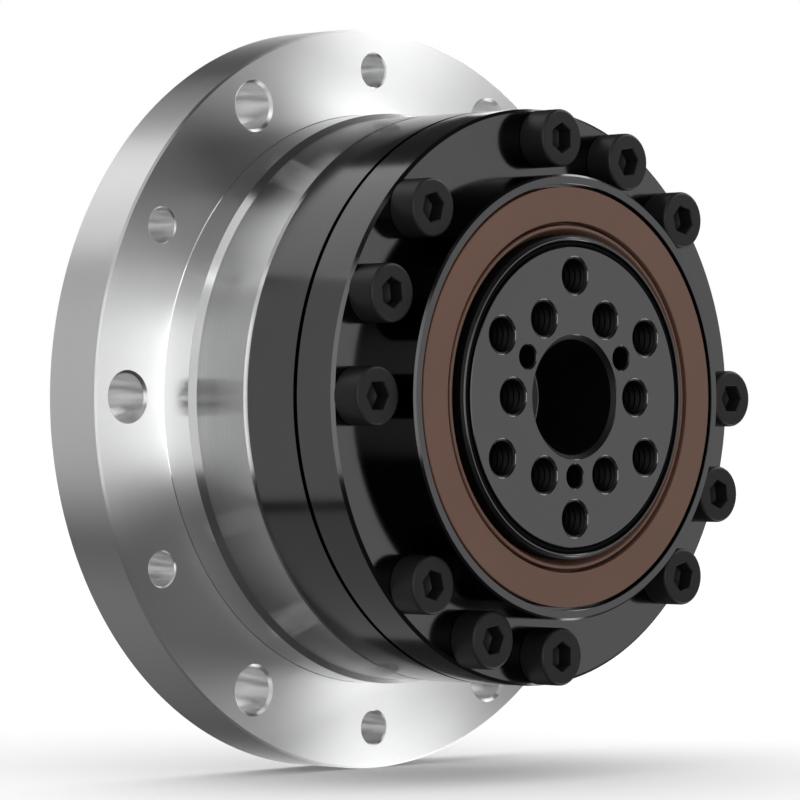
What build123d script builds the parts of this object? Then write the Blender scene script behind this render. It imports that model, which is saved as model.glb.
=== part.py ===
from build123d import *
from math import cos, pi, radians, sin, sqrt, tan
import os

# Cup-type strain wave gear with a mounting flange and an output flange that
# runs in a crossed-roller bearing. Sizes are in millimetres.
#
# Every piece is built along a local Z axis that runs forward from the rear
# face of the mounting flange to the output face. At the end each piece is
# turned so that the gear axis is level: the output face looks along -Y and
# +Z is up. The origin is the centre of the flange's rear face.

# Toothing: straight-flanked teeth, two more on the rigid ring than on the cup
tooth_module = 0.35
ring_teeth = 102
tooth_difference = 2
tooth_l = 7.0
addendum = 0.26
dedendum = 0.32
flank_angle = 30.0
backlash = 0.03

# Flexspline: thin cup with a thick boss at its closed end
rim_wall = 0.48
cup_wall = 0.4
cup_corner_r = 1.2
flex_boss_rim = 0.4
flex_boss_t = 2.0
flex_boss_step = 0.4
flex_bore_gap = 0.2

# Circular spline: wall between tooth roots and screw heads, wall outside them
ring_inner_wall = 1.13
ring_outer_wall = 0.9
spline_screw_count = 8
spline_screw_l = 8.0
spline_screw_start = 11.25
counterbore_gap = 0.15
counterbore_spare = 0.1

# Crossed-roller bearing, two-part outer ring
roller_outset = 2.1
roller_d = 3.0
roller_l = 2.9
roller_edge = 0.2
roller_spacing = 0.15
roller_clearance = 0.05
ring_shoulder_gap = 0.25
outer_ring_edge = 0.3
rear_ring_t = 6.55
front_ring_t = 4.95
split_groove_w = 0.5
split_groove_depth = 0.8
bearing_screw_outset = 5.43
bearing_screw_rim = 0.12
bearing_screw_places = 16
bearing_screw_l = 16.0
tap_spare = 0.5
neck_gap = 0.75
neck_wall = 1.19
neck_l = 4.2
neck_edge = 0.2

# Seal in the neck, from its outside inwards to the lip, and its recesses
seal_pocket_depth = 4.0
seal_mouth_chamfer = 0.34
seal_skin = 0.44
seal_inset = 0.1
case_t = 0.45
case_flange_w = 2.4
case_cover = 0.7
mouth_step = 0.47
lip_groove_w = 0.33
lip_groove_depth = 1.2
lip_w = 0.4
lip_back = 1.0
lip_reach = 0.56
lip_gap = 0.05
spring_d = 0.76
web_t = 0.8
web_gap = 1.46

# Output flange, which is the bearing's inner ring
output_proud = 0.45
output_edge = 0.15
output_bore_d = 11.0
output_bore_chamfer = 0.45
inner_ring_back = 4.15
seat_relief = 0.6
seat_margin = 0.6
shoulder_gap = 0.5
shoulder_edge = 0.3
output_pcd = 23.0
output_tap_d = 3.3
output_tap_depth = 8.0
output_holes = 6
bore_land = 1.35
flex_bolt_l = 12.0
flex_bolts = 6
dowel_inset = 1.0
dowel_d = 2.0
dowel_l = 5.0
dowel_hole_d = 2.2
dowel_edge = 0.15
dowel_start = 30.0
dowels = 3
clamp_rim = 0.2
clamp_t = 1.2
clamp_edge = 0.24

# Housing: mounting flange, boss and cylindrical body in one aluminium piece
flange_t = 6.7
flange_edge = 0.45
flange_rim = 4.0
flange_land = 4.5
flange_hole_d = 4.5
flange_tap_d = 3.3
flange_holes = 6
hole_chamfer = 0.3
boss_step = 0.5
boss_l = 3.45
boss_slope_l = 0.65
body_l = 6.8
body_edge = 0.5
pilot_gap = 0.5
pilot_depth = 2.0
cup_clearance = 0.3

# O-rings and their grooves
face_groove_edge = 0.48
face_groove_w = 0.62
face_groove_depth = 0.55
face_cord_d = 0.5
body_groove_inset = 3.33
body_groove_w = 1.1
body_groove_depth = 0.85
body_cord_d = 0.8
rear_groove_outset = 1.8
rear_groove_w = 1.2

# Wave generator: thin ball bearing on an oval plug, driven by an Oldham hub
wave_gap = 0.05
race_w = 6.0
outer_race_wall = 0.85
inner_race_wall = 0.9
ball_d = 2.6
ball_count = 23
ball_clearance = 0.05
race_shoulder = 0.75
separator_t = 1.04
separator_back = 2.6
separator_front = 0.9
separator_clearance = 0.08
plug_l = 6.4
plug_web_t = 1.9
plug_bore_gap = 0.5
hub_bore_d = 6.0
hub_wall = 2.0
hub_rear = 0.2
hub_collar_wall = 3.5
hub_collar_l = 3.5
hub_flange_w = 3.3
hub_flange_t = 0.8
hub_nose_l = 0.7
dog_w = 3.0
dog_h = 1.1
oldham_gap = 0.05
insert_rim = 0.2
pocket_gap = 0.4
washer_w = 2.1
washer_t = 0.5
snap_ring_w = 1.1
snap_ring_t = 0.6
snap_ring_depth = 0.4
snap_ring_opening = 3.2
snap_eye_d = 2.0
snap_eye_hole_d = 0.8
snap_eye_spacing = 4.48
snap_eye_height = 0.8
set_screw_l = 3.0
set_screw_key = 1.5
set_screw_key_depth = 1.5
set_screw_back = 0.1

# Screw sizes: thread, head diameter, head height, key, key depth
m3_d = 3.0
m3_head_d = 5.5
m3_head_h = 3.0
m3_key = 2.5
m3_key_depth = 1.6
m4_d = 4.0
m4_head_d = 7.0
m4_head_h = 4.0
m4_key = 3.0
m4_key_depth = 2.2
head_edge = 0.3
screw_hole_gap = 0.2

# Clearance between two pieces that are fixed to each other
fit = 0.02

# Toothing radii
flex_teeth = ring_teeth - tooth_difference
ring_pitch_r = tooth_module * ring_teeth / 2
flex_pitch_r = tooth_module * flex_teeth / 2
deflection = ring_pitch_r - flex_pitch_r
tooth_pitch = pi * tooth_module
lobes = 2
ring_root_r = ring_pitch_r + dedendum
flex_root_r = flex_pitch_r - dedendum
rim_inner_r = flex_root_r - rim_wall
neutral_r = flex_root_r - rim_wall / 2
cup_outer_r = rim_inner_r + cup_wall
flex_tip_r = flex_pitch_r + addendum + deflection

# Circular spline radii
counterbore_r = m3_head_d / 2 + counterbore_gap
counterbore_depth = m3_head_h + counterbore_spare
spline_screw_r = ring_root_r + ring_inner_wall + counterbore_r
spline_r = spline_screw_r + counterbore_r + ring_outer_wall

# Crossed-roller bearing, each size from the one inside it
roller_pitch_r = cup_outer_r + roller_outset
groove_half = (roller_d / 2 + roller_clearance) * sqrt(2)
inner_ring_r = roller_pitch_r - ring_shoulder_gap
outer_bore_r = roller_pitch_r + ring_shoulder_gap
groove_mouth = groove_half - ring_shoulder_gap
roller_count = 2 * int(pi * roller_pitch_r / (roller_d + roller_spacing))
bearing_screw_pcd = 2 * (roller_pitch_r + bearing_screw_outset)
outer_ring_d = bearing_screw_pcd + m3_head_d + 2 * bearing_screw_rim
neck_d = bearing_screw_pcd - m3_head_d - 2 * neck_gap

# Seal, each size from the one outside it, down to the output flange that it runs on
seal_bore_d = neck_d - 2 * neck_wall
case_d = seal_bore_d - 2 * seal_skin
case_inner_d = case_d - 2 * case_flange_w
seal_mouth_d = case_inner_d - 2 * mouth_step
lip_d = seal_mouth_d - 2 * (lip_groove_w + lip_w)
spring_centre_d = lip_d + 2 * lip_back
output_d = lip_d - 2 * lip_reach
web_bore_d = output_d + 2 * web_gap

# Bolt and dowel circles of the cup bottom, and its clamp plate
flex_pcd = output_bore_d + output_tap_d + 2 * bore_land
dowel_pcd = flex_pcd - 2 * dowel_inset
flex_bore_d = output_bore_d + 2 * flex_bore_gap
flex_boss_d = flex_pcd + m4_head_d + 2 * flex_boss_rim
clamp_d = flex_boss_d + 2 * clamp_rim

# Housing, each size from the one inside it
body_d = outer_ring_d
boss_d = body_d + 2 * boss_step
flange_pcd = boss_d + 2 * flange_land
flange_d = flange_pcd + 2 * flange_rim
pilot_d = 2 * (spline_r + pilot_gap)

# O-ring grooves
face_groove_d = output_d - 2 * face_groove_edge - face_groove_w
body_groove_d = bearing_screw_pcd - 2 * body_groove_inset
rear_groove_d = pilot_d + 2 * rear_groove_outset

# Wave generator, its bearing before the pieces are stretched to an oval
race_r = rim_inner_r - wave_gap
ball_r = ball_d / 2
ball_pitch_r = race_r - outer_race_wall - ball_r
plug_r = ball_pitch_r - ball_r - inner_race_wall
stretch = deflection / rim_inner_r
hub_d = hub_bore_d + 2 * hub_wall
hub_collar_d = hub_bore_d + 2 * hub_collar_wall
hub_flange_d = hub_d + 2 * hub_flange_w
insert_d = hub_flange_d + 2 * insert_rim
plug_pocket_d = insert_d + 2 * pocket_gap
plug_bore_d = hub_d + 2 * plug_bore_gap
washer_d = plug_bore_d + 2 * washer_w
snap_ring_d = hub_d + 2 * snap_ring_w

# Stations along the axis, from the flange's rear face
z_boss = flange_t
z_slope = z_boss + boss_l
z_body = z_slope + boss_slope_l
z_housing = z_body + body_l
z_split = z_housing + rear_ring_t
z_ring_face = z_split + front_ring_t
z_rim = z_ring_face + neck_l
z_output = z_rim + output_proud
z_pocket = z_rim - seal_pocket_depth
z_web = z_pocket - web_t
z_shoulder = z_web - shoulder_gap
z_inner = z_split - inner_ring_back
z_clamp = z_inner - flex_boss_t
z_heads = z_clamp - clamp_t
z_spline = pilot_depth
z_teeth = z_spline + tooth_l
z_spline_heads = z_spline + counterbore_depth
z_seal = z_rim - seal_inset
z_lip_groove = z_seal - lip_groove_depth
z_case = z_lip_groove - case_cover - fit
z_spring = z_case - case_t - spring_d / 2 - fit
z_wave = z_spline + tooth_l / 2
z_hub_flange = hub_rear + hub_collar_l
z_dogs = z_hub_flange + hub_flange_t
z_plug = z_wave - plug_l / 2
z_plug_front = z_wave + plug_l / 2
z_plug_web = z_plug_front - plug_web_t
z_snap = z_plug_front + washer_t + oldham_gap
z_hub_front = z_snap + snap_ring_t + hub_nose_l
z_set_screws = hub_rear + hub_collar_l / 2

set_screw_angles = (0, 90)
bearing_screw_angles = [
    360 / bearing_screw_places * place for place in range(bearing_screw_places) if place % 4 != 1
]


def tube(outer_r, inner_r, start, end):
    """Plain ring between two radii, from one station to another."""
    return Pos(0, 0, start) * extrude(Circle(outer_r) - Circle(inner_r), end - start)


def rod(radius, start, end):
    """Plain cylinder from one station to another."""
    return Pos(0, 0, start) * extrude(Circle(radius), end - start)


def turned(points):
    """Solid of revolution from a closed outline of (radius, station) points."""
    return revolve(make_face(Plane.XZ * Polyline(*points, close=True)), Axis.Z)


def cone_cut(radius, depth, station, facing):
    """Chamfer cutter for a hole of this radius, on a face that looks along facing (1 or -1)."""
    wide = radius + depth
    inner = station - facing * depth
    return turned([(0, inner), (radius, inner), (wide, station), (0, station)])


def around(shape, radius, angles):
    """Copies of a shape, each turned to its angle at this radius."""
    return [Rot(0, 0, angle) * Pos(radius, 0, 0) * shape for angle in angles]


def spaced(count, start=0.0):
    """Evenly spaced angles in degrees."""
    return [start + 360 / count * i for i in range(count)]


def socket_screw(thread_d, head_d, head_h, key, key_depth, length):
    """Cap screw with its head towards +Z and the underside of the head at station 0."""
    head = chamfer(rod(head_d / 2, 0, head_h).edges().group_by(Axis.Z)[-1], head_edge)
    shank = chamfer(rod(thread_d / 2, -length, 0).edges().group_by(Axis.Z)[0], head_edge)
    socket = RegularPolygon(key / 2, 6, major_radius=False)
    return head + shank - Pos(0, 0, head_h - key_depth) * extrude(socket, key_depth)


def m3_screw(length):
    """M3 cap screw."""
    return socket_screw(m3_d, m3_head_d, m3_head_h, m3_key, m3_key_depth, length)


def m4_screw(length):
    """M4 cap screw."""
    return socket_screw(m4_d, m4_head_d, m4_head_h, m4_key, m4_key_depth, length)


def oval(shape):
    """A round wave generator piece, stretched along X and squeezed along Y."""
    return scale(shape, by=(1 + stretch, 1 - stretch, 1))


def oring(centre_d, cord_d, station):
    """O-ring that lies in a face groove."""
    return Pos(0, 0, station) * Torus(centre_d / 2, cord_d / 2)


def face_groove(centre_d, width, depth, station, facing):
    """Ring-shaped cutter for an O-ring groove in a face that looks along facing (1 or -1)."""
    low, high = sorted((station, station - facing * depth))
    return tube((centre_d + width) / 2, (centre_d - width) / 2, low, high)


def housing_flange():
    """Flange, boss and body, with the seat of the circular spline at the rear."""
    flange_r = flange_d / 2
    body_r = body_d / 2
    seat_r = spline_r + fit
    bore_r = flex_tip_r + cup_clearance
    body = turned([
        (pilot_d / 2, 0),
        (flange_r - flange_edge, 0),
        (flange_r, flange_edge),
        (flange_r, z_boss - flange_edge),
        (flange_r - flange_edge, z_boss),
        (boss_d / 2, z_boss),
        (boss_d / 2, z_slope),
        (body_r, z_body),
        (body_r, z_housing - body_edge),
        (body_r - body_edge, z_housing),
        (bore_r, z_housing),
        (bore_r, z_teeth),
        (seat_r, z_teeth),
        (seat_r, z_spline),
        (pilot_d / 2, z_spline),
    ])
    for diameter, start in ((flange_hole_d, 0), (flange_tap_d, 180 / flange_holes)):
        hole = rod(diameter / 2, 0, z_boss)
        hole += cone_cut(diameter / 2, hole_chamfer, z_boss, 1)
        hole += cone_cut(diameter / 2, hole_chamfer, 0, -1)
        body -= around(hole, flange_pcd / 2, spaced(flange_holes, start))
    screw_end = z_ring_face - bearing_screw_l
    bearing_tap = rod(m3_d / 2 + fit, screw_end - tap_spare, z_housing)
    body -= around(bearing_tap, bearing_screw_pcd / 2, bearing_screw_angles)
    spline_tap = rod(m3_d / 2 + fit, z_teeth, z_spline_heads + spline_screw_l + tap_spare)
    body -= around(spline_tap, spline_screw_r, spaced(spline_screw_count, spline_screw_start))
    body -= face_groove(body_groove_d, body_groove_w, body_groove_depth, z_housing, 1)
    return body - face_groove(rear_groove_d, rear_groove_w, body_groove_depth, 0, -1)


def space_half(radial):
    """Half the width of a tooth space of the rigid ring, at this height over the pitch circle."""
    return tooth_pitch / 4 + backlash / 2 - radial * tan(radians(flank_angle))


def tooth_half(radial):
    """Half the thickness of a cup tooth, at this height over the pitch circle."""
    return tooth_pitch / 4 - backlash / 2 - radial * tan(radians(flank_angle))


def outline_points(radius, angle, lean, heights, half_width):
    """Four corners of a tooth or space at a pitch radius, its middle line at the angle lean."""
    cx, cy = radius * cos(angle), radius * sin(angle)
    low, high = heights
    corners = ((low, -1), (high, -1), (high, 1), (low, 1))
    return [
        (
            cx + radial * cos(lean) - side * half_width(radial) * sin(lean),
            cy + radial * sin(lean) + side * half_width(radial) * cos(lean),
        )
        for radial, side in corners
    ]


def circular_spline():
    """Rigid ring with internal teeth and counterbored screw holes."""
    points = []
    for i in range(ring_teeth):
        angle = 2 * pi * i / ring_teeth
        points += outline_points(ring_pitch_r, angle, angle, (-addendum, dedendum), space_half)
    profile = Circle(spline_r) - make_face(Polyline(*points, close=True))
    ring = Pos(0, 0, z_spline) * extrude(profile, tooth_l)
    hole = rod((m3_d + screw_hole_gap) / 2, z_spline, z_teeth)
    hole += rod(counterbore_r, z_spline, z_spline_heads)
    return ring - around(hole, spline_screw_r, spaced(spline_screw_count, spline_screw_start))


def spline_screws():
    """Cap screws through the circular spline, put in from the rear."""
    screw = Pos(0, 0, z_spline_heads) * Rot(180, 0, 0) * m3_screw(spline_screw_l)
    return around(screw, spline_screw_r, spaced(spline_screw_count, spline_screw_start))


def flexspline_rim():
    """Toothed end of the cup, bent oval as it stands in mesh with the rigid ring.

    A rim bent to this many lobes also shifts each tooth along the pitch line and leans it.
    """
    points = []
    for i in range(flex_teeth):
        angle = 2 * pi * i / flex_teeth
        radius = flex_pitch_r + deflection * cos(lobes * angle)
        swing = deflection / neutral_r * sin(lobes * angle)
        shifted = angle - swing / lobes
        lean = angle + (lobes - 1 / lobes) * swing
        points += outline_points(radius, shifted, lean, (-dedendum, addendum), tooth_half)
    inside = Ellipse(rim_inner_r + deflection, rim_inner_r - deflection)
    profile = make_face(Polyline(*points, close=True)) - inside
    return Pos(0, 0, z_spline) * extrude(profile, tooth_l)


def flexspline_wall(bend):
    """Thin wall that turns from oval at the teeth to round at the station of the bend."""
    shells = []
    for radius in (cup_outer_r, rim_inner_r):
        open_end = Pos(0, 0, z_teeth) * Ellipse(radius + deflection, radius - deflection)
        closed_end = Pos(0, 0, bend) * Circle(radius)
        shells.append(loft([open_end, closed_end]))
    return shells[0] - shells[1]


def flexspline():
    """Thin-walled cup: toothed rim, wall, rounded corner, diaphragm and boss."""
    top = z_inner - flex_boss_step
    bend = top - cup_corner_r
    corner_x = cup_outer_r - cup_corner_r
    inner_corner_r = cup_corner_r - cup_wall
    boss_r = flex_boss_d / 2
    outline = Polyline(
        (cup_outer_r - cup_wall, bend),
        (cup_outer_r, bend),
    )
    outline += CenterArc((corner_x, bend), cup_corner_r, 0, 90)
    outline += Polyline(
        (corner_x, top),
        (boss_r, top),
        (boss_r, z_inner),
        (flex_bore_d / 2, z_inner),
        (flex_bore_d / 2, z_clamp),
        (boss_r, z_clamp),
        (boss_r, top - cup_wall),
        (corner_x, top - cup_wall),
    )
    outline += CenterArc((corner_x, bend), inner_corner_r, 0, 90)
    bottom = revolve(make_face(Plane.XZ * outline), Axis.Z)
    bolt_hole = rod(m4_d / 2 + fit, z_clamp, z_inner)
    dowel_hole = rod(dowel_d / 2 + fit, z_clamp, z_inner)
    bottom -= around(bolt_hole, flex_pcd / 2, spaced(flex_bolts))
    bottom -= around(dowel_hole, dowel_pcd / 2, spaced(dowels, dowel_start))
    return flexspline_rim() + flexspline_wall(bend) + bottom


def flexspline_clamp():
    """Plate between the bolt heads and the bottom of the cup."""
    plate = tube(clamp_d / 2, flex_bore_d / 2, z_heads, z_clamp)
    plate = chamfer(plate.edges().group_by(Axis.Z)[0], clamp_edge)
    return plate - around(rod(m4_d / 2 + fit, z_heads, z_clamp), flex_pcd / 2, spaced(flex_bolts))


def flexspline_bolts():
    """Cap screws from inside the cup into the output flange."""
    bolt = Pos(0, 0, z_heads) * Rot(180, 0, 0) * m4_screw(flex_bolt_l)
    return around(bolt, flex_pcd / 2, spaced(flex_bolts))


def dowel_pins():
    """Pins that hold the cup's bottom in line with the output flange."""
    start = z_clamp + fit
    pin = rod(dowel_d / 2, start, start + dowel_l)
    pin = chamfer(pin.edges().filter_by(GeomType.CIRCLE), dowel_edge)
    return around(pin, dowel_pcd / 2, spaced(dowels, dowel_start))


def bearing_screw_hole(start, end):
    """Clearance hole for a bearing screw."""
    return rod((m3_d + screw_hole_gap) / 2, start, end)


def bearing_ring_rear():
    """Rear half of the outer ring, from the housing to the split."""
    outer_r = outer_ring_d / 2
    ring = turned([
        (outer_bore_r, z_housing),
        (outer_r - outer_ring_edge / 2, z_housing),
        (outer_r, z_housing + outer_ring_edge / 2),
        (outer_r, z_split - split_groove_w / 2),
        (outer_r - split_groove_depth, z_split - split_groove_w / 2),
        (outer_r - split_groove_depth, z_split),
        (roller_pitch_r + groove_half, z_split),
        (outer_bore_r, z_split - groove_mouth),
    ])
    hole = bearing_screw_hole(z_housing, z_split)
    return ring - around(hole, bearing_screw_pcd / 2, bearing_screw_angles)


def bearing_ring_front():
    """Front half of the outer ring, with the neck that holds the seal."""
    outer_r = outer_ring_d / 2
    neck_r = neck_d / 2
    seal_r = seal_bore_d / 2
    ring = turned([
        (roller_pitch_r + groove_half, z_split),
        (outer_r - split_groove_depth, z_split),
        (outer_r - split_groove_depth, z_split + split_groove_w / 2),
        (outer_r, z_split + split_groove_w / 2),
        (outer_r, z_ring_face - outer_ring_edge),
        (outer_r - outer_ring_edge, z_ring_face),
        (neck_r, z_ring_face),
        (neck_r, z_rim - neck_edge),
        (neck_r - neck_edge, z_rim),
        (seal_r + seal_mouth_chamfer, z_rim),
        (seal_r, z_rim - seal_mouth_chamfer),
        (seal_r, z_pocket),
        (web_bore_d / 2, z_pocket),
        (web_bore_d / 2, z_web),
        (outer_bore_r, z_web),
        (outer_bore_r, z_split + groove_mouth),
    ])
    hole = bearing_screw_hole(z_split, z_ring_face)
    return ring - around(hole, bearing_screw_pcd / 2, bearing_screw_angles)


def bearing_screws():
    """Cap screws from the front through both ring halves into the housing."""
    screw = Pos(0, 0, z_ring_face) * m3_screw(bearing_screw_l)
    return around(screw, bearing_screw_pcd / 2, bearing_screw_angles)


def crossed_rollers():
    """Full row of rollers, each one's axis square to its neighbours'."""
    roller = Cylinder(roller_d / 2, roller_l)
    roller = chamfer(roller.edges().filter_by(GeomType.CIRCLE), roller_edge)
    rollers = []
    for i, angle in enumerate(spaced(roller_count)):
        tilt = 45 if i % 2 == 0 else -45
        rollers += around(Pos(0, 0, z_split) * Rot(0, tilt, 0) * roller, roller_pitch_r, [angle])
    return rollers


def output_flange():
    """Inner ring of the bearing, with the output face at its front end."""
    front_r = output_d / 2
    bore_r = output_bore_d / 2
    seat_r = flex_boss_d / 2 + seat_margin
    body = turned([
        (bore_r, z_inner),
        (seat_r, z_inner),
        (seat_r, z_inner + seat_relief),
        (inner_ring_r - shoulder_edge, z_inner + seat_relief),
        (inner_ring_r, z_inner + seat_relief + shoulder_edge),
        (inner_ring_r, z_split - groove_mouth),
        (roller_pitch_r - groove_half, z_split),
        (inner_ring_r, z_split + groove_mouth),
        (inner_ring_r, z_shoulder - shoulder_edge),
        (inner_ring_r - shoulder_edge, z_shoulder),
        (front_r, z_shoulder),
        (front_r, z_output - output_edge),
        (front_r - output_edge, z_output),
        (bore_r + output_bore_chamfer, z_output),
        (bore_r, z_output - output_bore_chamfer),
    ])
    load_hole = rod(output_tap_d / 2, z_output - output_tap_depth, z_output)
    body -= around(load_hole, output_pcd / 2, spaced(output_holes, 180 / output_holes))
    bolt_hole = rod(output_tap_d / 2, z_inner, z_output)
    bolt_hole += rod(m4_d / 2 + fit, z_inner, z_heads + flex_bolt_l + tap_spare)
    body -= around(bolt_hole, flex_pcd / 2, spaced(flex_bolts))
    dowel_end = z_clamp + fit + dowel_l
    dowel_hole = rod(dowel_d / 2 + fit, z_inner, dowel_end + fit)
    dowel_hole += rod(dowel_hole_d / 2, dowel_end + fit, z_output)
    body -= around(dowel_hole, dowel_pcd / 2, spaced(dowels, dowel_start))
    return body - face_groove(face_groove_d, face_groove_w, face_groove_depth, z_output, 1)


def output_seal():
    """Rubber of the rotary seal: front face, dust lip, main lip and outer sleeve."""
    shaft_r = output_d / 2 + lip_gap
    lip_r = lip_d / 2
    lip_back_r = lip_r + lip_back
    lip_end = z_pocket + lip_w
    middle = (lip_end + z_lip_groove) / 2
    rubber = turned([
        (case_d / 2 + fit, z_pocket + fit),
        (seal_bore_d / 2 - fit, z_pocket + fit),
        (seal_bore_d / 2 - fit, z_seal),
        (seal_mouth_d / 2, z_seal),
        (seal_mouth_d / 2, z_lip_groove),
        (lip_r + lip_w, z_lip_groove),
        (lip_r + lip_w, z_seal - lip_w),
        (lip_r, z_seal - lip_w),
        (shaft_r, z_lip_groove),
        (lip_r, z_lip_groove - lip_w),
        (shaft_r, middle),
        (lip_r, lip_end + lip_w),
        (lip_r, lip_end),
        (lip_back_r, lip_end),
        (lip_back_r, z_case + fit),
        (case_d / 2 + fit, z_case + fit),
    ])
    return rubber - Pos(0, 0, z_spring) * Torus(spring_centre_d / 2, spring_d / 2 + fit)


def seal_case():
    """L-shaped steel ring that stiffens the seal."""
    outer_r = case_d / 2
    return turned([
        (case_inner_d / 2, z_case - case_t),
        (outer_r - case_t, z_case - case_t),
        (outer_r - case_t, z_pocket + case_t),
        (outer_r, z_pocket + case_t),
        (outer_r, z_case),
        (case_inner_d / 2, z_case),
    ])


def seal_spring():
    """Garter spring round the back of the main lip."""
    return oring(spring_centre_d, spring_d, z_spring)


def output_face_oring():
    """O-ring in the output face."""
    return oring(face_groove_d, face_cord_d, z_output - face_groove_depth + face_cord_d / 2)


def housing_oring():
    """O-ring between the housing and the bearing."""
    return oring(body_groove_d, body_cord_d, z_housing - body_groove_depth + body_cord_d / 2)


def rear_face_oring():
    """O-ring in the flange's rear face."""
    return oring(rear_groove_d, body_cord_d, body_groove_depth - body_cord_d / 2)


def wave_outer_race():
    """Thin outer race, bent oval by the plug."""
    ring = tube(race_r, ball_pitch_r + race_shoulder, z_wave - race_w / 2, z_wave + race_w / 2)
    return oval(ring - Pos(0, 0, z_wave) * Torus(ball_pitch_r, ball_r + ball_clearance))


def wave_inner_race():
    """Thin inner race on the plug."""
    ring = tube(ball_pitch_r - race_shoulder, plug_r + fit, z_wave - race_w / 2, z_wave + race_w / 2)
    return oval(ring - Pos(0, 0, z_wave) * Torus(ball_pitch_r, ball_r + ball_clearance))


def wave_balls():
    """Balls on their oval path."""
    balls = []
    for angle in spaced(ball_count):
        x = ball_pitch_r * (1 + stretch) * cos(radians(angle))
        y = ball_pitch_r * (1 - stretch) * sin(radians(angle))
        balls.append(Pos(x, y, z_wave) * Sphere(ball_r))
    return balls


def ball_separator():
    """Crown-shaped separator, open towards the rear, one pocket for each ball."""
    ring = tube(
        ball_pitch_r + separator_t / 2,
        ball_pitch_r - separator_t / 2,
        z_wave - separator_front,
        z_wave + separator_back,
    )
    pocket = Rot(0, 90, 0) * Cylinder(ball_r + separator_clearance, 2 * separator_t)
    pockets = around(Pos(0, 0, z_wave) * pocket, ball_pitch_r, spaced(ball_count))
    return oval(ring - pockets)


def dogs(inner_r, outer_r, start, end, angle, width=dog_w):
    """Two bars on opposite sides, between two radii."""
    bar = Pos(0, 0, start) * extrude(Rectangle(2 * outer_r, width), end - start)
    return Rot(0, 0, angle) * (bar & tube(outer_r, inner_r, start, end))


def wave_plug():
    """Oval plug with a pocket for the Oldham coupling and two dogs along Y."""
    outside = Pos(0, 0, z_plug) * extrude(
        Ellipse(plug_r * (1 + stretch), plug_r * (1 - stretch)), plug_l
    )
    plug = outside - rod(plug_pocket_d / 2, z_plug, z_plug_web)
    plug -= rod(plug_bore_d / 2, z_plug_web, z_plug_front)
    return plug + dogs(plug_bore_d / 2, plug_pocket_d / 2, z_plug_web - dog_h, z_plug_web, 90)


def oldham_insert():
    """Floating ring with a pair of slots in each face, square to each other."""
    low = z_dogs + oldham_gap
    high = z_plug_web - oldham_gap
    ring = tube(insert_d / 2, plug_bore_d / 2, low, high)
    slot_w = dog_w + 2 * oldham_gap
    slot_inner_r = plug_bore_d / 2 - oldham_gap
    slot_outer_r = insert_d / 2 + oldham_gap
    ring -= dogs(slot_inner_r, slot_outer_r, low, z_dogs + dog_h + oldham_gap, 0, slot_w)
    return ring - dogs(slot_inner_r, slot_outer_r, z_plug_web - dog_h - oldham_gap, high, 90, slot_w)


def oldham_hub():
    """Hub with the motor shaft's bore, a collar for the set screws and two dogs along X."""
    hub = rod(hub_d / 2, hub_rear, z_hub_front)
    hub += rod(hub_collar_d / 2, hub_rear, z_hub_flange)
    hub += rod(hub_flange_d / 2, z_hub_flange, z_dogs)
    hub += dogs(hub_d / 2, hub_flange_d / 2, z_dogs, z_dogs + dog_h, 0)
    hub -= rod(hub_bore_d / 2, hub_rear, z_hub_front)
    hub -= cone_cut(hub_bore_d / 2, hole_chamfer, hub_rear, -1)
    hub -= tube(hub_d, hub_d / 2 - snap_ring_depth, z_snap, z_snap + snap_ring_t + fit)
    hole = Rot(0, 90, 0) * rod(m3_d / 2 + fit, 0, hub_collar_d)
    for angle in set_screw_angles:
        hub -= Pos(0, 0, z_set_screws) * Rot(0, 0, angle) * hole
    return hub


def hub_set_screws():
    """Set screws that clamp the motor shaft, clear of the bore when it is empty."""
    screw = rod(m3_d / 2, 0, set_screw_l)
    screw = chamfer(screw.edges().filter_by(GeomType.CIRCLE), head_edge)
    socket = RegularPolygon(set_screw_key / 2, 6, major_radius=False)
    screw -= Pos(0, 0, set_screw_l - set_screw_key_depth) * extrude(socket, set_screw_key_depth)
    start = hub_bore_d / 2 + set_screw_back
    seated = Pos(0, 0, z_set_screws) * Rot(0, 90, 0) * Pos(0, 0, start) * screw
    return [Rot(0, 0, angle) * seated for angle in set_screw_angles]


def rub_washer():
    """Washer between the plug and the snap ring."""
    return tube(washer_d / 2, hub_d / 2 + oldham_gap, z_plug_front + fit, z_plug_front + washer_t)


def snap_ring():
    """Open ring in the groove of the hub, with an eye at each end."""
    inner_r = hub_d / 2 - snap_ring_depth + fit
    outer_r = snap_ring_d / 2
    profile = Circle(outer_r) - Circle(inner_r)
    profile -= Pos(0, outer_r) * Rectangle(snap_ring_opening, snap_ring_d)
    for side in (-1, 1):
        centre = Pos(side * snap_eye_spacing / 2, inner_r + snap_eye_height)
        profile += centre * Circle(snap_eye_d / 2)
        profile -= centre * Circle(snap_eye_hole_d / 2)
    profile -= Circle(inner_r)
    return Pos(0, 0, z_snap + fit / 2) * extrude(profile, snap_ring_t)


def oriented(shape):
    """A finished piece, turned from the local axis to the object's own frame."""
    return Rot(90, 0, 0) * shape


builders = (
    housing_flange,
    circular_spline,
    spline_screws,
    flexspline,
    flexspline_clamp,
    flexspline_bolts,
    dowel_pins,
    bearing_ring_rear,
    bearing_ring_front,
    bearing_screws,
    crossed_rollers,
    output_flange,
    output_seal,
    seal_case,
    seal_spring,
    output_face_oring,
    housing_oring,
    rear_face_oring,
    wave_outer_race,
    wave_inner_race,
    wave_balls,
    ball_separator,
    wave_plug,
    oldham_insert,
    oldham_hub,
    hub_set_screws,
    rub_washer,
    snap_ring,
)

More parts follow.
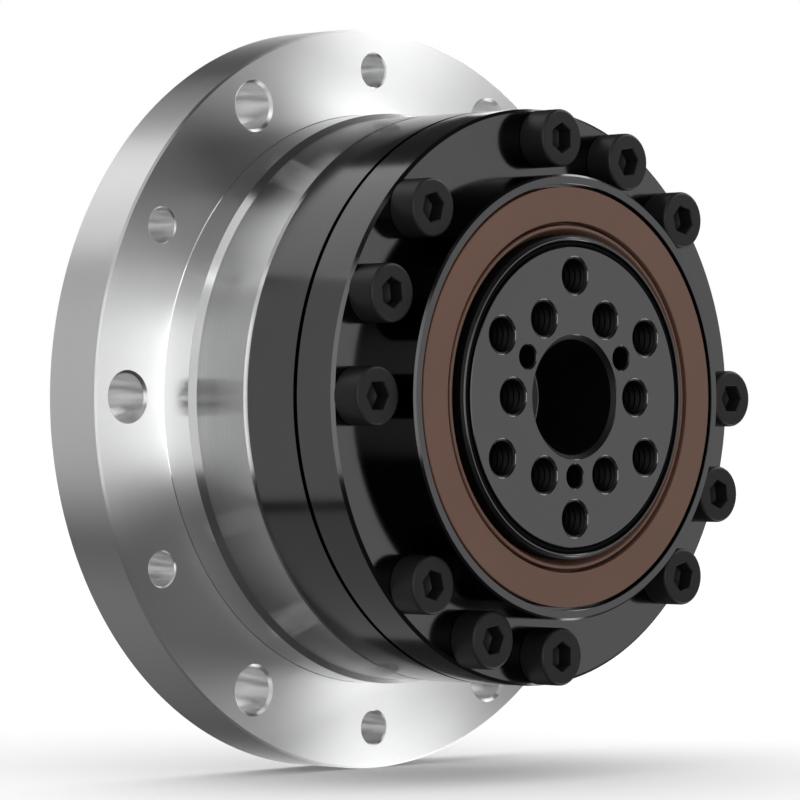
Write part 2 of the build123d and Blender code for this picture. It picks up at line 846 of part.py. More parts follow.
os.makedirs("parts", exist_ok=True)
for builder in builders:
    made = builder()
    pieces = made if isinstance(made, list) else [made]
    solids = [oriented(solid) for piece in pieces for solid in piece.solids()]
    shape = solids[0] if len(solids) == 1 else Compound(children=solids)
    export_step(shape, f"parts/{builder.__name__}.step")
    print(builder.__name__, len(solids), round(sum(solid.volume for solid in solids), 2))
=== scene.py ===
import logging
import math
from abc import ABC, abstractmethod
from collections.abc import Callable
from dataclasses import dataclass, replace
from enum import Enum
from functools import cache

import bmesh
import bpy
from mathutils import Matrix, Vector


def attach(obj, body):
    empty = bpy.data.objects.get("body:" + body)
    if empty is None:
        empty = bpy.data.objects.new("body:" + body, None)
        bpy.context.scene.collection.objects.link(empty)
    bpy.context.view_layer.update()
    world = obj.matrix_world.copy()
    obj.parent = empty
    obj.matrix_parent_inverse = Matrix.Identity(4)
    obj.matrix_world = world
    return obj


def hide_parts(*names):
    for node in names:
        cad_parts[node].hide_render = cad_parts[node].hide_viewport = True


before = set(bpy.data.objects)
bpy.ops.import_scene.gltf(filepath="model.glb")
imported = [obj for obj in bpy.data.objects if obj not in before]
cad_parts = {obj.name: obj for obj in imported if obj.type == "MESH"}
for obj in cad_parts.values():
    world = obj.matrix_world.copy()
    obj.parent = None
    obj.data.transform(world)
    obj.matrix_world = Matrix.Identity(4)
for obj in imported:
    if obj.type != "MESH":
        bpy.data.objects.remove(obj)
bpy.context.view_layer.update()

# Lengths are in mm, apart from those whose name ends in _M.
MM = 0.001
ROUND_STEPS = 256
SMOOTH_ANGLE = math.radians(30)
ON_AXIS_MM = 1e-6
WELD_M = 0.5e-6
MERGE_M = 1e-6
FIT_GAP = 0.02
BEFORE_FLANGE = 0.02
BEHIND_OUTPUT = 0.06

log = logging.getLogger("gear")

Point = tuple[float, float]
Colour = tuple[float, float, float]


class Body(Enum):
    """The bodies that a piece can ride on."""

    HOUSING = "housing"
    OUTPUT = "output"
    WAVE = "wave_generator"


class Facing(Enum):
    """Which way a face looks along the gear axis."""

    FRONT = 1
    REAR = -1


@dataclass(frozen=True)
class Stations:
    """Places along the gear axis, in mm forward of the flange's rear face."""

    pilot_floor: float = 2.0
    spline_front: float = 9.0
    wave_middle: float = 5.5
    flange_front: float = 6.7
    boss_end: float = 10.15
    body_start: float = 10.8
    bolt_heads: float = 16.8
    housing_end: float = 17.6
    cup_back: float = 18.0
    inner_ring_back: float = 20.0
    ring_split: float = 24.15
    shoulder: float = 28.0
    web_back: float = 28.5
    ring_face: float = 29.1
    seal_pocket: float = 29.3
    neck_rim: float = 33.3
    output_face: float = 33.75


AT = Stations()


def arithmetic(operation: str, swap: bool = False) -> Callable[["Value", "Value | float"], "Value"]:
    """Make a method of Value that combines two numbers in a node tree.

    Args:
        operation: name of the Math node's operation.
        swap: puts the second number first.

    Returns:
        The method.
    """

    def combine(self: "Value", other: "Value | float") -> "Value":
        """Add a Math node for this number and another."""
        return self.graph.math(operation, *((other, self) if swap else (self, other)))

    return combine


class Value:
    """One number in a node tree, with the usual arithmetic on it."""

    __add__ = arithmetic("ADD")
    __radd__ = arithmetic("ADD", swap=True)
    __sub__ = arithmetic("SUBTRACT")
    __rsub__ = arithmetic("SUBTRACT", swap=True)
    __mul__ = arithmetic("MULTIPLY")
    __truediv__ = arithmetic("DIVIDE")
    __mod__ = arithmetic("MODULO")

    def __init__(self, graph: "Graph", socket: bpy.types.NodeSocket) -> None:
        """Keep the graph and the socket that gives the number."""
        self.graph = graph
        self.socket = socket

    def floor(self) -> "Value":
        """Whole part."""
        return self.graph.math("FLOOR", self)

    def sin(self) -> "Value":
        """Sine of an angle in radians."""
        return self.graph.math("SINE", self)

    def cos(self) -> "Value":
        """Cosine of an angle in radians."""
        return self.graph.math("COSINE", self)

    def above(self, limit: float) -> "Value":
        """1 where the number is over the limit, else 0."""
        return self.graph.math("GREATER_THAN", self, limit)

    def near(self, other: "Value | float", width: float = 0.5) -> "Value":
        """1 where the number is within a width of another, else 0."""
        return self.graph.math("COMPARE", self, other, width)


class Graph:
    """Short calls for filling a node tree."""

    def __init__(self, tree: bpy.types.NodeTree) -> None:
        """Start on an empty tree."""
        self.tree = tree
        tree.nodes.clear()

    def node(self, kind: str, *terms: object, **settings: object) -> bpy.types.Node:
        """Add a node.

        Args:
            kind: Blender's name of the node type.
            terms: values for its first inputs, in order.
            settings: properties to set on it.

        Returns:
            The new node.
        """
        made = self.tree.nodes.new(kind)
        for key, value in settings.items():
            setattr(made, key, value)
        for socket, term in zip(made.inputs, terms):
            self.feed(socket, term)
        return made

    def feed(self, socket: bpy.types.NodeSocket, value: object) -> None:
        """Link a value to a socket, or set the socket to a constant.

        Args:
            socket: input of a node.
            value: a Value, another node's output, or a plain number, vector, colour or flag.
        """
        source = value.socket if isinstance(value, Value) else value
        if isinstance(source, bpy.types.NodeSocket):
            self.tree.links.new(source, socket)
        else:
            socket.default_value = source

    def fill(self, node: bpy.types.Node, **inputs: object) -> bpy.types.Node:
        """Feed a node's inputs by name.

        Args:
            node: the node.
            inputs: values, an underscore standing for a space in an input's name.

        Returns:
            The node.
        """
        for name, value in inputs.items():
            self.feed(node.inputs[name.replace("_", " ")], value)
        return node

    def math(self, operation: str, *terms: object) -> Value:
        """Number that a Math node makes of its terms."""
        return Value(self, self.node("ShaderNodeMath", *terms, operation=operation).outputs[0])

    def vector(self, x: object, y: object, z: object) -> bpy.types.NodeSocket:
        """Vector of three numbers."""
        return self.node("ShaderNodeCombineXYZ", x, y, z).outputs[0]


class ShaderGraph(Graph):
    """Node tree of a material, with the patterns that the finishes share.

    The mix node keeps its colour sockets at fixed places among those for other kinds of value. A wall is
    where the square of the normal's part along the gear axis is under the wall slope.
    """

    mix_inputs = (6, 7)
    mix_output = 2
    wall_slope = 0.25

    def __init__(self, name: str) -> None:
        """Make the material with a Principled shader.

        Args:
            name: name of the material.
        """
        self.material = bpy.data.materials.new(name)
        self.material.use_nodes = True
        super().__init__(self.material.node_tree)
        self.shader = self.node("ShaderNodeBsdfPrincipled")
        self.node("ShaderNodeOutputMaterial", self.shader.outputs[0])
        where = self.node("ShaderNodeTexCoord")
        self.place, self.normal = where.outputs["Object"], where.outputs["Normal"]

    def set(self, **inputs: object) -> None:
        """Feed inputs of the shader."""
        self.fill(self.shader, **inputs)

    def noise(self, scale: float, detail: float = 3.0, where: bpy.types.NodeSocket | None = None) -> Value:
        """Noise from 0 to 1.

        Args:
            scale: how many features there are in a metre.
            detail: how many finer layers it has.
            where: coordinates to read, the object's own if left out.

        Returns:
            The noise.
        """
        made = self.node("ShaderNodeTexNoise", noise_dimensions="3D")
        self.fill(made, Vector=where or self.place, Scale=scale, Detail=detail)
        return Value(self, made.outputs[0])

    def parts(self, vector: bpy.types.NodeSocket) -> list[Value]:
        """The three numbers of a vector."""
        return [Value(self, socket) for socket in self.node("ShaderNodeSeparateXYZ", vector).outputs]

    def radius(self) -> Value:
        """Distance from the gear axis, in metres."""
        x, _, z = self.parts(self.place)
        return self.math("SQRT", x * x + z * z)

    def along(self) -> Value:
        """Place along the gear axis, in metres."""
        return self.parts(self.place)[1]

    def rings(self, per_metre: float, detail: float = 3.0) -> Value:
        """Marks of a lathe tool: noise that changes with the radius and along the axis only."""
        return self.noise(per_metre, detail, self.vector(self.radius(), self.along(), 0.0))

    def walls(self, inner_r: float, outer_r: float) -> Value:
        """Find the walls that run along the gear axis between two radii.

        Args:
            inner_r: the smaller radius in mm.
            outer_r: the larger radius in mm.

        Returns:
            1 on such walls, else 0.
        """
        level = self.parts(self.normal)[1]
        radius = self.radius()
        between = radius.above(inner_r * MM) * (1.0 - radius.above(outer_r * MM))
        return between * (1.0 - (level * level).above(self.wall_slope))

    def tint(self, low: object, high: object, amount: Value) -> bpy.types.NodeSocket:
        """Mix two colours.

        Args:
            low: colour, or the socket that gives it, where the amount is 0.
            high: colour or socket where the amount is 1.
            amount: number from 0 to 1.

        Returns:
            The socket of the mixed colour.
        """
        made = self.fill(self.node("ShaderNodeMix", data_type="RGBA"), Factor=amount)
        for place, colour in zip(self.mix_inputs, (low, high)):
            self.feed(made.inputs[place], (*colour, 1.0) if isinstance(colour, tuple) else colour)
        return made.outputs[self.mix_output]

    def clouded(self, colour: Colour, share: float, cloud: Value) -> bpy.types.NodeSocket:
        """Colour that falls to a share of itself where a cloud from 0 to 1 is thin."""
        return self.tint(tuple(part * share for part in colour), colour, cloud)

    def bump(self, height: Value, depth_mm: float) -> None:
        """Give the shader's normal a relief of this depth."""
        made = self.fill(self.node("ShaderNodeBump"), Strength=1.0, Distance=depth_mm * MM, Height=height)
        self.set(Normal=made.outputs[0])


@dataclass(frozen=True)
class Zone:
    """What lies behind a station along the gear axis, with a roughness of its own and a colour of its own
    that can be painted light or shade.
    """

    station: float
    roughness: float
    colour: Colour


@dataclass(frozen=True)
class WallsWithPaintedLight:
    """Walls of the holes between two radii, with a roughness of their own and a pale colour that is painted
    light, for the light that comes through the holes from behind.
    """

    inner_r: float
    outer_r: float
    roughness: float
    colour: Colour


@dataclass(frozen=True)
class Finish(ABC):
    """What every finish has, and the material that it makes."""

    name: str
    slot: str
    colour: Colour
    roughness: float

    @abstractmethod
    def build(self) -> bpy.types.Material:
        """Make the material."""


@dataclass(frozen=True)
class TurnedMetal(Finish):
    """Metal with the fine round marks of a lathe."""

    anisotropy: float = 0.0
    rings_per_metre: float = 5200.0
    ring_depth: float = 0.0012
    grain_per_metre: float = 9000.0
    grain_depth: float = 0.0006
    clouds_per_metre: float = 60.0
    unevenness: float = 0.12
    stain: float = 0.9
    zones: tuple[Zone, ...] = ()
    walls: WallsWithPaintedLight | None = None

    def build(self) -> bpy.types.Material:
        """Make the material.

        Returns:
            The material, with each zone laid over those before it and the walls over all.
        """
        graph = ShaderGraph(self.name)
        rings = graph.rings(self.rings_per_metre)
        grain = graph.noise(self.grain_per_metre, 2.0)
        cloud = graph.noise(self.clouds_per_metre, 4.0)
        rough = self.roughness + (rings - 0.5) * self.unevenness + (cloud - 0.5) * self.unevenness * 0.5
        colour = graph.clouded(self.colour, self.stain, cloud)
        # Each zone, and the walls, change the roughness and lay painted light or shade into the colour.
        layers = [(zone, graph.along().above(-zone.station * MM)) for zone in self.zones]
        # The hole walls' pale colour is painted light, laid over everything else.
        if self.walls:
            layers.append((self.walls, graph.walls(self.walls.inner_r, self.walls.outer_r)))
        base = self.roughness
        for layer, there in layers:
            rough = rough + there * (layer.roughness - base)
            colour = graph.tint(colour, layer.colour, there)
            base = layer.roughness
        graph.set(Base_Color=colour, Metallic=1.0, Roughness=rough)
        if self.anisotropy:
            tangent = graph.node("ShaderNodeTangent", direction_type="RADIAL", axis="Y")
            graph.set(Anisotropic=self.anisotropy, Anisotropic_Rotation=0.25, Tangent=tangent.outputs[0])
        graph.bump(rings + grain * (self.grain_depth / self.ring_depth), self.ring_depth)
        return graph.material


@dataclass(frozen=True)
class Skin(Finish):
    """Surface with fine grain, faint clouds and the traces of a lathe."""

    grain_per_metre: float = 7000.0
    grain_layers: float = 3.0
    depth: float = 0.0008
    clouds_per_metre: float = 90.0
    cloud_layers: float = 5.0
    rings_per_metre: float = 3800.0
    ring_layers: float = 3.0
    ring_share: float = 0.5
    cloud_change: float = 0.08
    grain_change: float = 0.08
    stain: float = 0.8
    metallic: float = 1.0
    specular: float = 0.5

    def build(self) -> bpy.types.Material:
        """Make the material.

        Returns:
            The material, its roughness changed by clouds and grain.
        """
        graph = ShaderGraph(self.name)
        grain = graph.noise(self.grain_per_metre, self.grain_layers)
        cloud = graph.noise(self.clouds_per_metre, self.cloud_layers)
        rings = graph.rings(self.rings_per_metre, self.ring_layers)
        graph.set(
            Base_Color=graph.clouded(self.colour, self.stain, cloud),
            Metallic=self.metallic,
            Roughness=self.roughness + (cloud - 0.5) * self.cloud_change + (grain - 0.5) * self.grain_change,
            Specular_IOR_Level=self.specular,
        )
        graph.bump(grain + rings * self.ring_share, self.depth)
        return graph.material


@dataclass(frozen=True)
class BlackOxide(Skin):
    """Blackened steel: dark, with fine grain and faint cloudiness."""


@dataclass(frozen=True)
class Rubber(Skin):
    """Moulded rubber with a fine matt skin."""

    roughness: float = 0.5
    grain_per_metre: float = 4200.0
    grain_layers: float = 4.0
    depth: float = 0.004
    clouds_per_metre: float = 140.0
    rings_per_metre: float = 2500.0
    ring_layers: float = 2.0
    ring_share: float = 0.6
    cloud_change: float = 0.0
    grain_change: float = 0.2
    stain: float = 0.86
    metallic: float = 0.0
    specular: float = 0.2


@dataclass(frozen=True)
class MouldedPlastic(Skin):
    """Plastic with a soft sheen, slightly cloudy."""

    roughness: float = 0.4
    grain_per_metre: float = 5200.0
    grain_layers: float = 2.0
    depth: float = 0.003
    clouds_per_metre: float = 220.0
    ring_share: float = 0.0
    cloud_change: float = 0.15
    grain_change: float = 0.0
    stain: float = 0.9
    metallic: float = 0.0


@dataclass(frozen=True)
class Finishes:
    """Every finish of the gear."""

    # Housing colours hold painted light and shade: the base 0.54 is painted shade on the body, the boss
    # zone's 0.8 is a painted reflection of the bright flange face, and the flange zone's 0.74 is the plain
    # aluminium colour.
    housing: Finish = TurnedMetal(
        "silver_aluminium", "silver_aluminium", (0.54, 0.542, 0.545), 0.24, anisotropy=1.0,
        zones=(
            Zone(AT.boss_end, 0.16, (0.8, 0.802, 0.805)),
            Zone(AT.flange_front + BEFORE_FLANGE, 0.45, (0.74, 0.742, 0.745)),
        ),
        # Hole walls: drilled roughness 0.3, and a near-white colour that is painted light for the light
        # shining through the holes from behind.
        walls=WallsWithPaintedLight(29.5, 35.5, 0.3, (0.96, 0.962, 0.965)),
    )
    ring: Finish = BlackOxide("ring_black", "black_oxide_steel", (0.085, 0.085, 0.088), 0.13)
    output: Finish = TurnedMetal(
        "output_black", "output_black", (0.09, 0.09, 0.093), 0.16, unevenness=0.06,
        # Everything behind the output face is rougher and near-black: painted shade in the holes, the bore,
        # the O-ring groove and the disc's side.
        zones=(Zone(AT.output_face - BEHIND_OUTPUT, 0.5, (0.018, 0.018, 0.0186)),),
    )
    screw: Finish = BlackOxide(
        "screw_black", "screw_black", (0.01, 0.01, 0.0105), 0.46, metallic=0.0, specular=0.22
    )
    seal: Finish = Rubber("brown_rubber", "brown_rubber", (0.122, 0.062, 0.043))
    oring: Finish = Rubber("black_rubber", "black_rubber", (0.003, 0.003, 0.003), 0.8, specular=0.03)
    spline: Finish = TurnedMetal("spline_steel", "spline_steel", (0.5, 0.5, 0.51), 0.28, unevenness=0.08)
    cup: Finish = TurnedMetal("cup_steel", "cup_steel", (0.56, 0.56, 0.57), 0.24)
    sleeve: Finish = TurnedMetal("sleeve_steel", "cup_steel", (0.56, 0.56, 0.57), 0.62)
    ground: Finish = TurnedMetal("ground_steel", "ground_steel", (0.72, 0.73, 0.74), 0.1, unevenness=0.05)
    plug: Finish = TurnedMetal("plug_steel", "plug_steel", (0.46, 0.46, 0.47), 0.32)
    zinc: Finish = TurnedMetal("zinc_steel", "zinc_steel", (0.6, 0.61, 0.62), 0.3)
    bronze: Finish = TurnedMetal("insert_bronze", "insert_bronze", (0.6, 0.42, 0.2), 0.38)
    nylon: Finish = MouldedPlastic("separator_nylon", "separator_nylon", (0.72, 0.64, 0.45))
    washer: Finish = MouldedPlastic("washer_plastic", "washer_plastic", (0.03, 0.03, 0.03))
    snap: Finish = BlackOxide("snap_ring_black", "black_oxide_steel", (0.07, 0.07, 0.072), 0.3)


FINISH = Finishes()


@cache
def material_of(finish: Finish) -> bpy.types.Material:
    """The material of a finish, made on its first use."""
    return finish.build()


def turn_to_row() -> Matrix:
    """Matrix from the maker's axes (axis along Z, forward) to the row's axes, in metres."""
    return Matrix.Rotation(math.radians(90), 4, "X") @ Matrix.Scale(MM, 4)


def new_object(name: str, data: bpy.types.ID) -> bpy.types.Object:
    """Put data into the scene as an object at the origin.

    Args:
        name: name of the object.
        data: mesh, camera or light.

    Returns:
        The object.
    """
    made = bpy.data.objects.new(name, data)
    bpy.context.scene.collection.objects.link(made)
    return made


def from_shape(name: str, shape: bmesh.types.BMesh) -> bpy.types.Object:
    """Turn an edited mesh into an object and free it.

    Args:
        name: name of the object and of its mesh.
        shape: the edited mesh.

    Returns:
        The object.
    """
    mesh = bpy.data.meshes.new(name)
    shape.to_mesh(mesh)
    shape.free()
    return new_object(name, mesh)


def shade(thing: bpy.types.Object, angle: float = SMOOTH_ANGLE) -> None:
    """Smooth shading that stays crisp at edges and flat on large faces.

    Args:
        thing: the object.
        angle: edges that turn by more than this many radians stay crisp.
    """
    thing.data.shade_smooth()
    thing.data.set_sharp_from_angle(angle=angle)
    thing.modifiers.new("even", "WEIGHTED_NORMAL").keep_sharp = True
    bake(thing)


def bake(thing: bpy.types.Object) -> None:
    """Turn an object with modifiers into a plain mesh and remove the modifiers.

    Args:
        thing: the object, which keeps its name.
    """
    graph = bpy.context.evaluated_depsgraph_get()
    graph.update()
    done = thing.evaluated_get(graph)
    plain = bpy.data.meshes.new_from_object(done, preserve_all_data_layers=True, depsgraph=graph)
    old = thing.data
    thing.modifiers.clear()
    thing.data = plain
    plain.name = thing.name
    bpy.data.meshes.remove(old)


def lathe(name: str, outline: list[Point], steps: int = ROUND_STEPS) -> bpy.types.Object:
    """Turn a closed outline round the Z axis, in mm.

    Args:
        name: name of the object.
        outline: (radius, station) points, in order round the section.
        steps: how many faces there are round the axis.

    Returns:
        The solid, still in the maker's axes.
    """
    shape = bmesh.new()
    rows = []
    for radius, station in outline:
        if radius < ON_AXIS_MM:
            rows.append([shape.verts.new((0, 0, station))] * steps)
            continue
        turns = (math.tau * i / steps for i in range(steps))
        rows.append([shape.verts.new((radius * math.cos(a), radius * math.sin(a), station)) for a in turns])
    for row, after in zip(rows, rows[1:] + rows[:1]):
        for i in range(steps):
            j = (i + 1) % steps
            corners = list(dict.fromkeys((row[i], row[j], after[j], after[i])))
            if len(corners) > 2:
                shape.faces.new(corners)
    bmesh.ops.recalc_face_normals(shape, faces=shape.faces)
    return from_shape(name, shape)


def arc(centre: Point, radius: float, start: float, end: float, steps: int = 8) -> list[Point]:
    """Points of an arc in the section.

    Args:
        centre: (radius, station) of its centre.
        radius: its own radius.
        start: angle of its first point in degrees from the outward radius.
        end: angle of its last point.
        steps: how many straight pieces it has.

    Returns:
        The points, one more than the steps.
    """
    angles = (math.radians(start + (end - start) * i / steps) for i in range(steps + 1))
    return [(centre[0] + radius * math.cos(a), centre[1] + radius * math.sin(a)) for a in angles]


def around(count: int, start: float = 0.0) -> list[float]:
    """Evenly spaced angles in degrees."""
    return [start + 360 / count * i for i in range(count)]


@dataclass(frozen=True)
class Hole:
    """A round hole along the gear axis, chamfered where it opens; a blind one is closed at the rear.

    A thread is the depth and pitch of its grooves, and a counterbore its radius and its floor's station.
    """

    radius: float
    start: float
    end: float
    chamfer: float = 0.0
    blind: bool = False
    counterbore: tuple[float, float] | None = None
    thread: tuple[float, float] | None = None
    turns: int = 6
    lead_in: float = 0.2
    steps: int = 48
    margin: float = 0.2

    def cutter(self) -> bpy.types.Object:
        """Make the solid to subtract.

        Returns:
            The solid on the Z axis, with the thread's grooves below its front mouth.
        """
        low, high = self.start, self.end
        below = low - self.margin
        depth, pitch = self.thread or (0.0, 0.0)
        mouth_r = self.radius + depth
        if self.counterbore:
            wide, floor = self.counterbore
            outline = [(0, below), (wide, below), (wide, floor), (self.radius, floor)]
        elif self.blind:
            outline = [(0, low), (self.radius, low)]
        else:
            wide = self.radius + self.chamfer + self.margin
            outline = [(0, below), (wide, below), (self.radius, low + self.chamfer)]
        top = high - self.chamfer
        if self.thread:
            for turn in range(self.turns, 0, -1):
                outline += [(self.radius, top - pitch * turn), (mouth_r, top - pitch * (turn - 0.5))]
            outline.append((self.radius, top - pitch * self.lead_in))
        past = mouth_r + self.chamfer + self.margin
        outline += [(mouth_r, top), (past, high + self.margin), (0, high + self.margin)]
        return lathe("cutter", outline, self.steps)


def drill(thing: bpy.types.Object, hole: Hole, circle_r: float, angles: list[float]) -> None:
    """Cut copies of a hole into a piece.

    Args:
        thing: piece, in the maker's axes.
        hole: the hole.
        circle_r: radius of the circle that the holes lie on, in mm.
        angles: where they lie on it, in degrees.
    """
    first = hole.cutter()
    shape = bmesh.new()
    for angle in angles:
        copy = first.data.copy()
        copy.transform(Matrix.Rotation(math.radians(angle), 4, "Z") @ Matrix.Translation((circle_r, 0, 0)))
        shape.from_mesh(copy)
        bpy.data.meshes.remove(copy)
    subtract(thing, from_shape("cutters", shape))
    bpy.data.objects.remove(first)


def subtract(thing: bpy.types.Object, cutter: bpy.types.Object) -> None:
    """Subtract one solid from another and remove the cutter.

    Args:
        thing: the solid that stays.
        cutter: the solid to subtract.
    """
    step = thing.modifiers.new("cut", "BOOLEAN")
    step.object = cutter
    step.operation = "DIFFERENCE"
    step.solver = "EXACT"
    bake(thing)
    bpy.data.objects.remove(cutter)


@dataclass
class Piece:
    """A finished piece and what it stands for."""

    thing: bpy.types.Object
    finish: Finish
    body: Body
    nodes: tuple[str, ...]

    def hand_over(self) -> bpy.types.Object:
        """Put the piece in the row's axes, dress it and give it to its body."""
        self.thing.data.transform(turn_to_row())
        return self.dress()

    def dress(self) -> bpy.types.Object:
        """Dress a piece that is in the row's axes and give it to its body.

        Returns:
            The piece's object.
        """
        self.thing.data.materials.clear()
        self.thing.data.materials.append(material_of(self.finish))
        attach(self.thing, self.body.value)
        if self.nodes:
            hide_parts(*self.nodes)
        log.info("%s: %d faces on %s", self.thing.name, len(self.thing.data.polygons), self.body.value)
        return self.thing


def smooth_copy(node: str, name: str, finish: Finish, body: Body) -> bpy.types.Object:
    """Copy of a CAD node with its facets joined and shaded smooth.

    Args:
        node: the CAD node.
        name: name of the copy.
        finish: its finish.
        body: the body it rides on.

    Returns:
        The copy, which stands for the node.
    """
    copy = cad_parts[node].data.copy()
    copy.name = name
    given = copy.attributes.get("custom_normal")
    if given:
        copy.attributes.remove(given)
    shape = bmesh.new()
    shape.from_mesh(copy)
    bmesh.ops.remove_doubles(shape, verts=shape.verts, dist=WELD_M)
    shape.to_mesh(copy)
    shape.free()
    thing = new_object(name, copy)
    shade(thing)
    return Piece(thing, finish, body, (node,)).dress()


def dress_node(node: str, finish: Finish) -> None:
    """Give a CAD node that stays as it is its finish.

    Args:
        node: the CAD node.
        finish: the finish.
    """
    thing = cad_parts[node]
    thing.data.materials.clear()
    thing.data.materials.append(material_of(finish))
    log.info("%s: CAD node with %s", node, finish.name)


class GeometryGraph(Graph):
    """Geometry node tree with named inputs that ends in Realize Instances and Set Material."""

    def __init__(self, name: str, **kinds: str) -> None:
        """Make the tree with its geometry output and its inputs.

        Args:
            name: name of the tree.
            kinds: kind of each input, an underscore standing for a space in the input's name.
        """
        self.group = bpy.data.node_groups.new(name, "GeometryNodeTree")
        sockets = self.group.interface
        sockets.new_socket("Geometry", in_out="OUTPUT", socket_type="NodeSocketGeometry")
        self.names: dict[str, str] = {}
        for key, kind in kinds.items():
            made = sockets.new_socket(key.replace("_", " "), in_out="INPUT", socket_type="NodeSocket" + kind)
            self.names[key] = made.identifier
        super().__init__(self.group)
        entry = self.node("NodeGroupInput")
        self.inputs = [Value(self, socket) for socket, _ in zip(entry.outputs, kinds)]

    def index(self) -> Value:
        """Number of the point."""
        return Value(self, self.node("GeometryNodeInputIndex").outputs[0])

    def step(
        self, kind: str, *terms: object, settings: dict[str, object] | None = None, **inputs: object
    ) -> bpy.types.NodeSocket:
        """Add a geometry node.

        Args:
            kind: Blender's name of the node type, without GeometryNode in front.
            terms: values for its first inputs, in order.
            settings: properties to set on it.
            inputs: values for more inputs, an underscore standing for a space in an input's name.

        Returns:
            Its first output.
        """
        made = self.node("GeometryNode" + kind, *terms, **(settings or {}))
        return self.fill(made, **inputs).outputs[0]

    def join(self, *shapes: bpy.types.NodeSocket) -> bpy.types.NodeSocket:
        """Join shapes.

        Args:
            shapes: outputs that give them.

        Returns:
            The output that gives them as one.
        """
        made = self.node("GeometryNodeJoinGeometry")
        for shape in shapes:
            self.feed(made.inputs[0], shape)
        return made.outputs[0]

    def close(self, shape: bpy.types.NodeSocket, material: Value) -> None:
        """Turn the shape to the row's axes, realise it, give it its material and send it out.

        Args:
            shape: output that gives the shape.
            material: input that gives the material.
        """
        turned = self.step("Transform", shape, Rotation=(math.radians(90), 0, 0))
        real = self.step("RealizeInstances", turned)
        self.node("NodeGroupOutput", self.step("SetMaterial", real, Material=material))

    def make(self, name: str, **values: object) -> bpy.types.Object:
        """Run the tree once.

        Args:
            name: name of the result.
            values: values of the inputs.

        Returns:
            The result as a plain mesh object in the row's axes.
        """
        thing = new_object(name, bpy.data.meshes.new(name))
        step = thing.modifiers.new("nodes", "NODES")
        step.node_group = self.group
        for key, value in values.items():
            step[self.names[key]] = value
        bake(thing)
        return thing


def circle_tree() -> GeometryGraph:
    """Plan the copying of a piece to places on a circle round the axis, some of them left out.

    Returns:
        The tree.
    """
    graph = GeometryGraph(
        "pieces_on_a_circle", Piece="Object", Places="Int", Circle_Radius="Float", Start_Angle="Float",
        Gap_Every="Int", Gap_Offset="Int", Stretch="Float", Finish="Material",
    )
    piece, places, circle_r, start, every, offset, stretch, finish = graph.inputs
    index = graph.index()
    circle = graph.step("MeshCircle", places, circle_r, settings={"fill_type": "NONE"})
    turned = graph.step("Transform", circle, Rotation=graph.vector(0.0, 0.0, start))
    oval = graph.step("Transform", turned, Scale=graph.vector(1.0 + stretch, 1.0 - stretch, 1.0))
    one = graph.fill(graph.node("GeometryNodeObjectInfo", transform_space="ORIGINAL"), Object=piece)
    copies = graph.step(
        "InstanceOnPoints", oval, Instance=one.outputs["Geometry"],
        Selection=1.0 - (index % every).near(offset),
        Rotation=graph.vector(0.0, 0.0, index / places * math.tau + start),
    )
    graph.close(copies, finish)
    return graph


def tooth_tree() -> GeometryGraph:
    """Plan a ring with straight-flanked teeth, round or bent to an oval of two lobes.

    Each tooth has four corners: low and high on its first flank, then high and low on its second.

    Returns:
        The tree.
    """
    graph = GeometryGraph(
        "toothed_ring", Teeth="Int", Pitch_Radius="Float", Low="Float", High="Float", Half_Width="Float",
        Flank_Slope="Float", Deflection="Float", Neutral_Radius="Float", Plain_Radius="Float",
        Plain_Stretch="Float", Start="Float", Length="Float", Finish="Material",
    )
    teeth, pitch_r, low, high, half_width, slope, bend, neutral_r, *rest = graph.inputs
    plain_r, stretch, start, length, finish = rest
    corners, middle, reach = 4.0, 1.5, 0.6
    index = graph.index()
    corner = index % corners
    outer = corner.near(middle, reach)
    side = corner.above(middle) * 2.0 - 1.0
    angle = (index / corners).floor() / teeth * math.tau
    swing = bend / neutral_r * (angle * 2.0).sin()
    radius = pitch_r + bend * (angle * 2.0).cos()
    shifted = angle - swing / 2.0
    lean = angle + swing * 1.5
    height = low + outer * (high - low)
    half = (half_width - height * slope) * side
    x = radius * shifted.cos() + height * lean.cos() - half * lean.sin()
    y = radius * shifted.sin() + height * lean.sin() + half * lean.cos()
    circle = graph.step("MeshCircle", teeth * corners, settings={"fill_type": "NONE"})
    toothed = graph.step("SetPosition", circle, Position=graph.vector(x, y, 0.0))
    plain = graph.step("CurvePrimitiveCircle", Resolution=ROUND_STEPS, Radius=plain_r)
    oval = graph.step("Transform", plain, Scale=graph.vector(1.0 + stretch, 1.0 - stretch, 1.0))
    face = graph.step("FillCurve", graph.join(graph.step("MeshToCurve", toothed), oval))
    raised = graph.step(
        "ExtrudeMesh", face, settings={"mode": "FACES"}, Individual=False,
        Offset=graph.vector(0.0, 0.0, 1.0), Offset_Scale=length,
    )
    solid = graph.join(raised, graph.step("FlipFaces", face))
    merged = graph.step("MergeByDistance", solid, Distance=MERGE_M)
    graph.close(graph.step("Transform", merged, Translation=graph.vector(0.0, 0.0, start)), finish)
    return graph


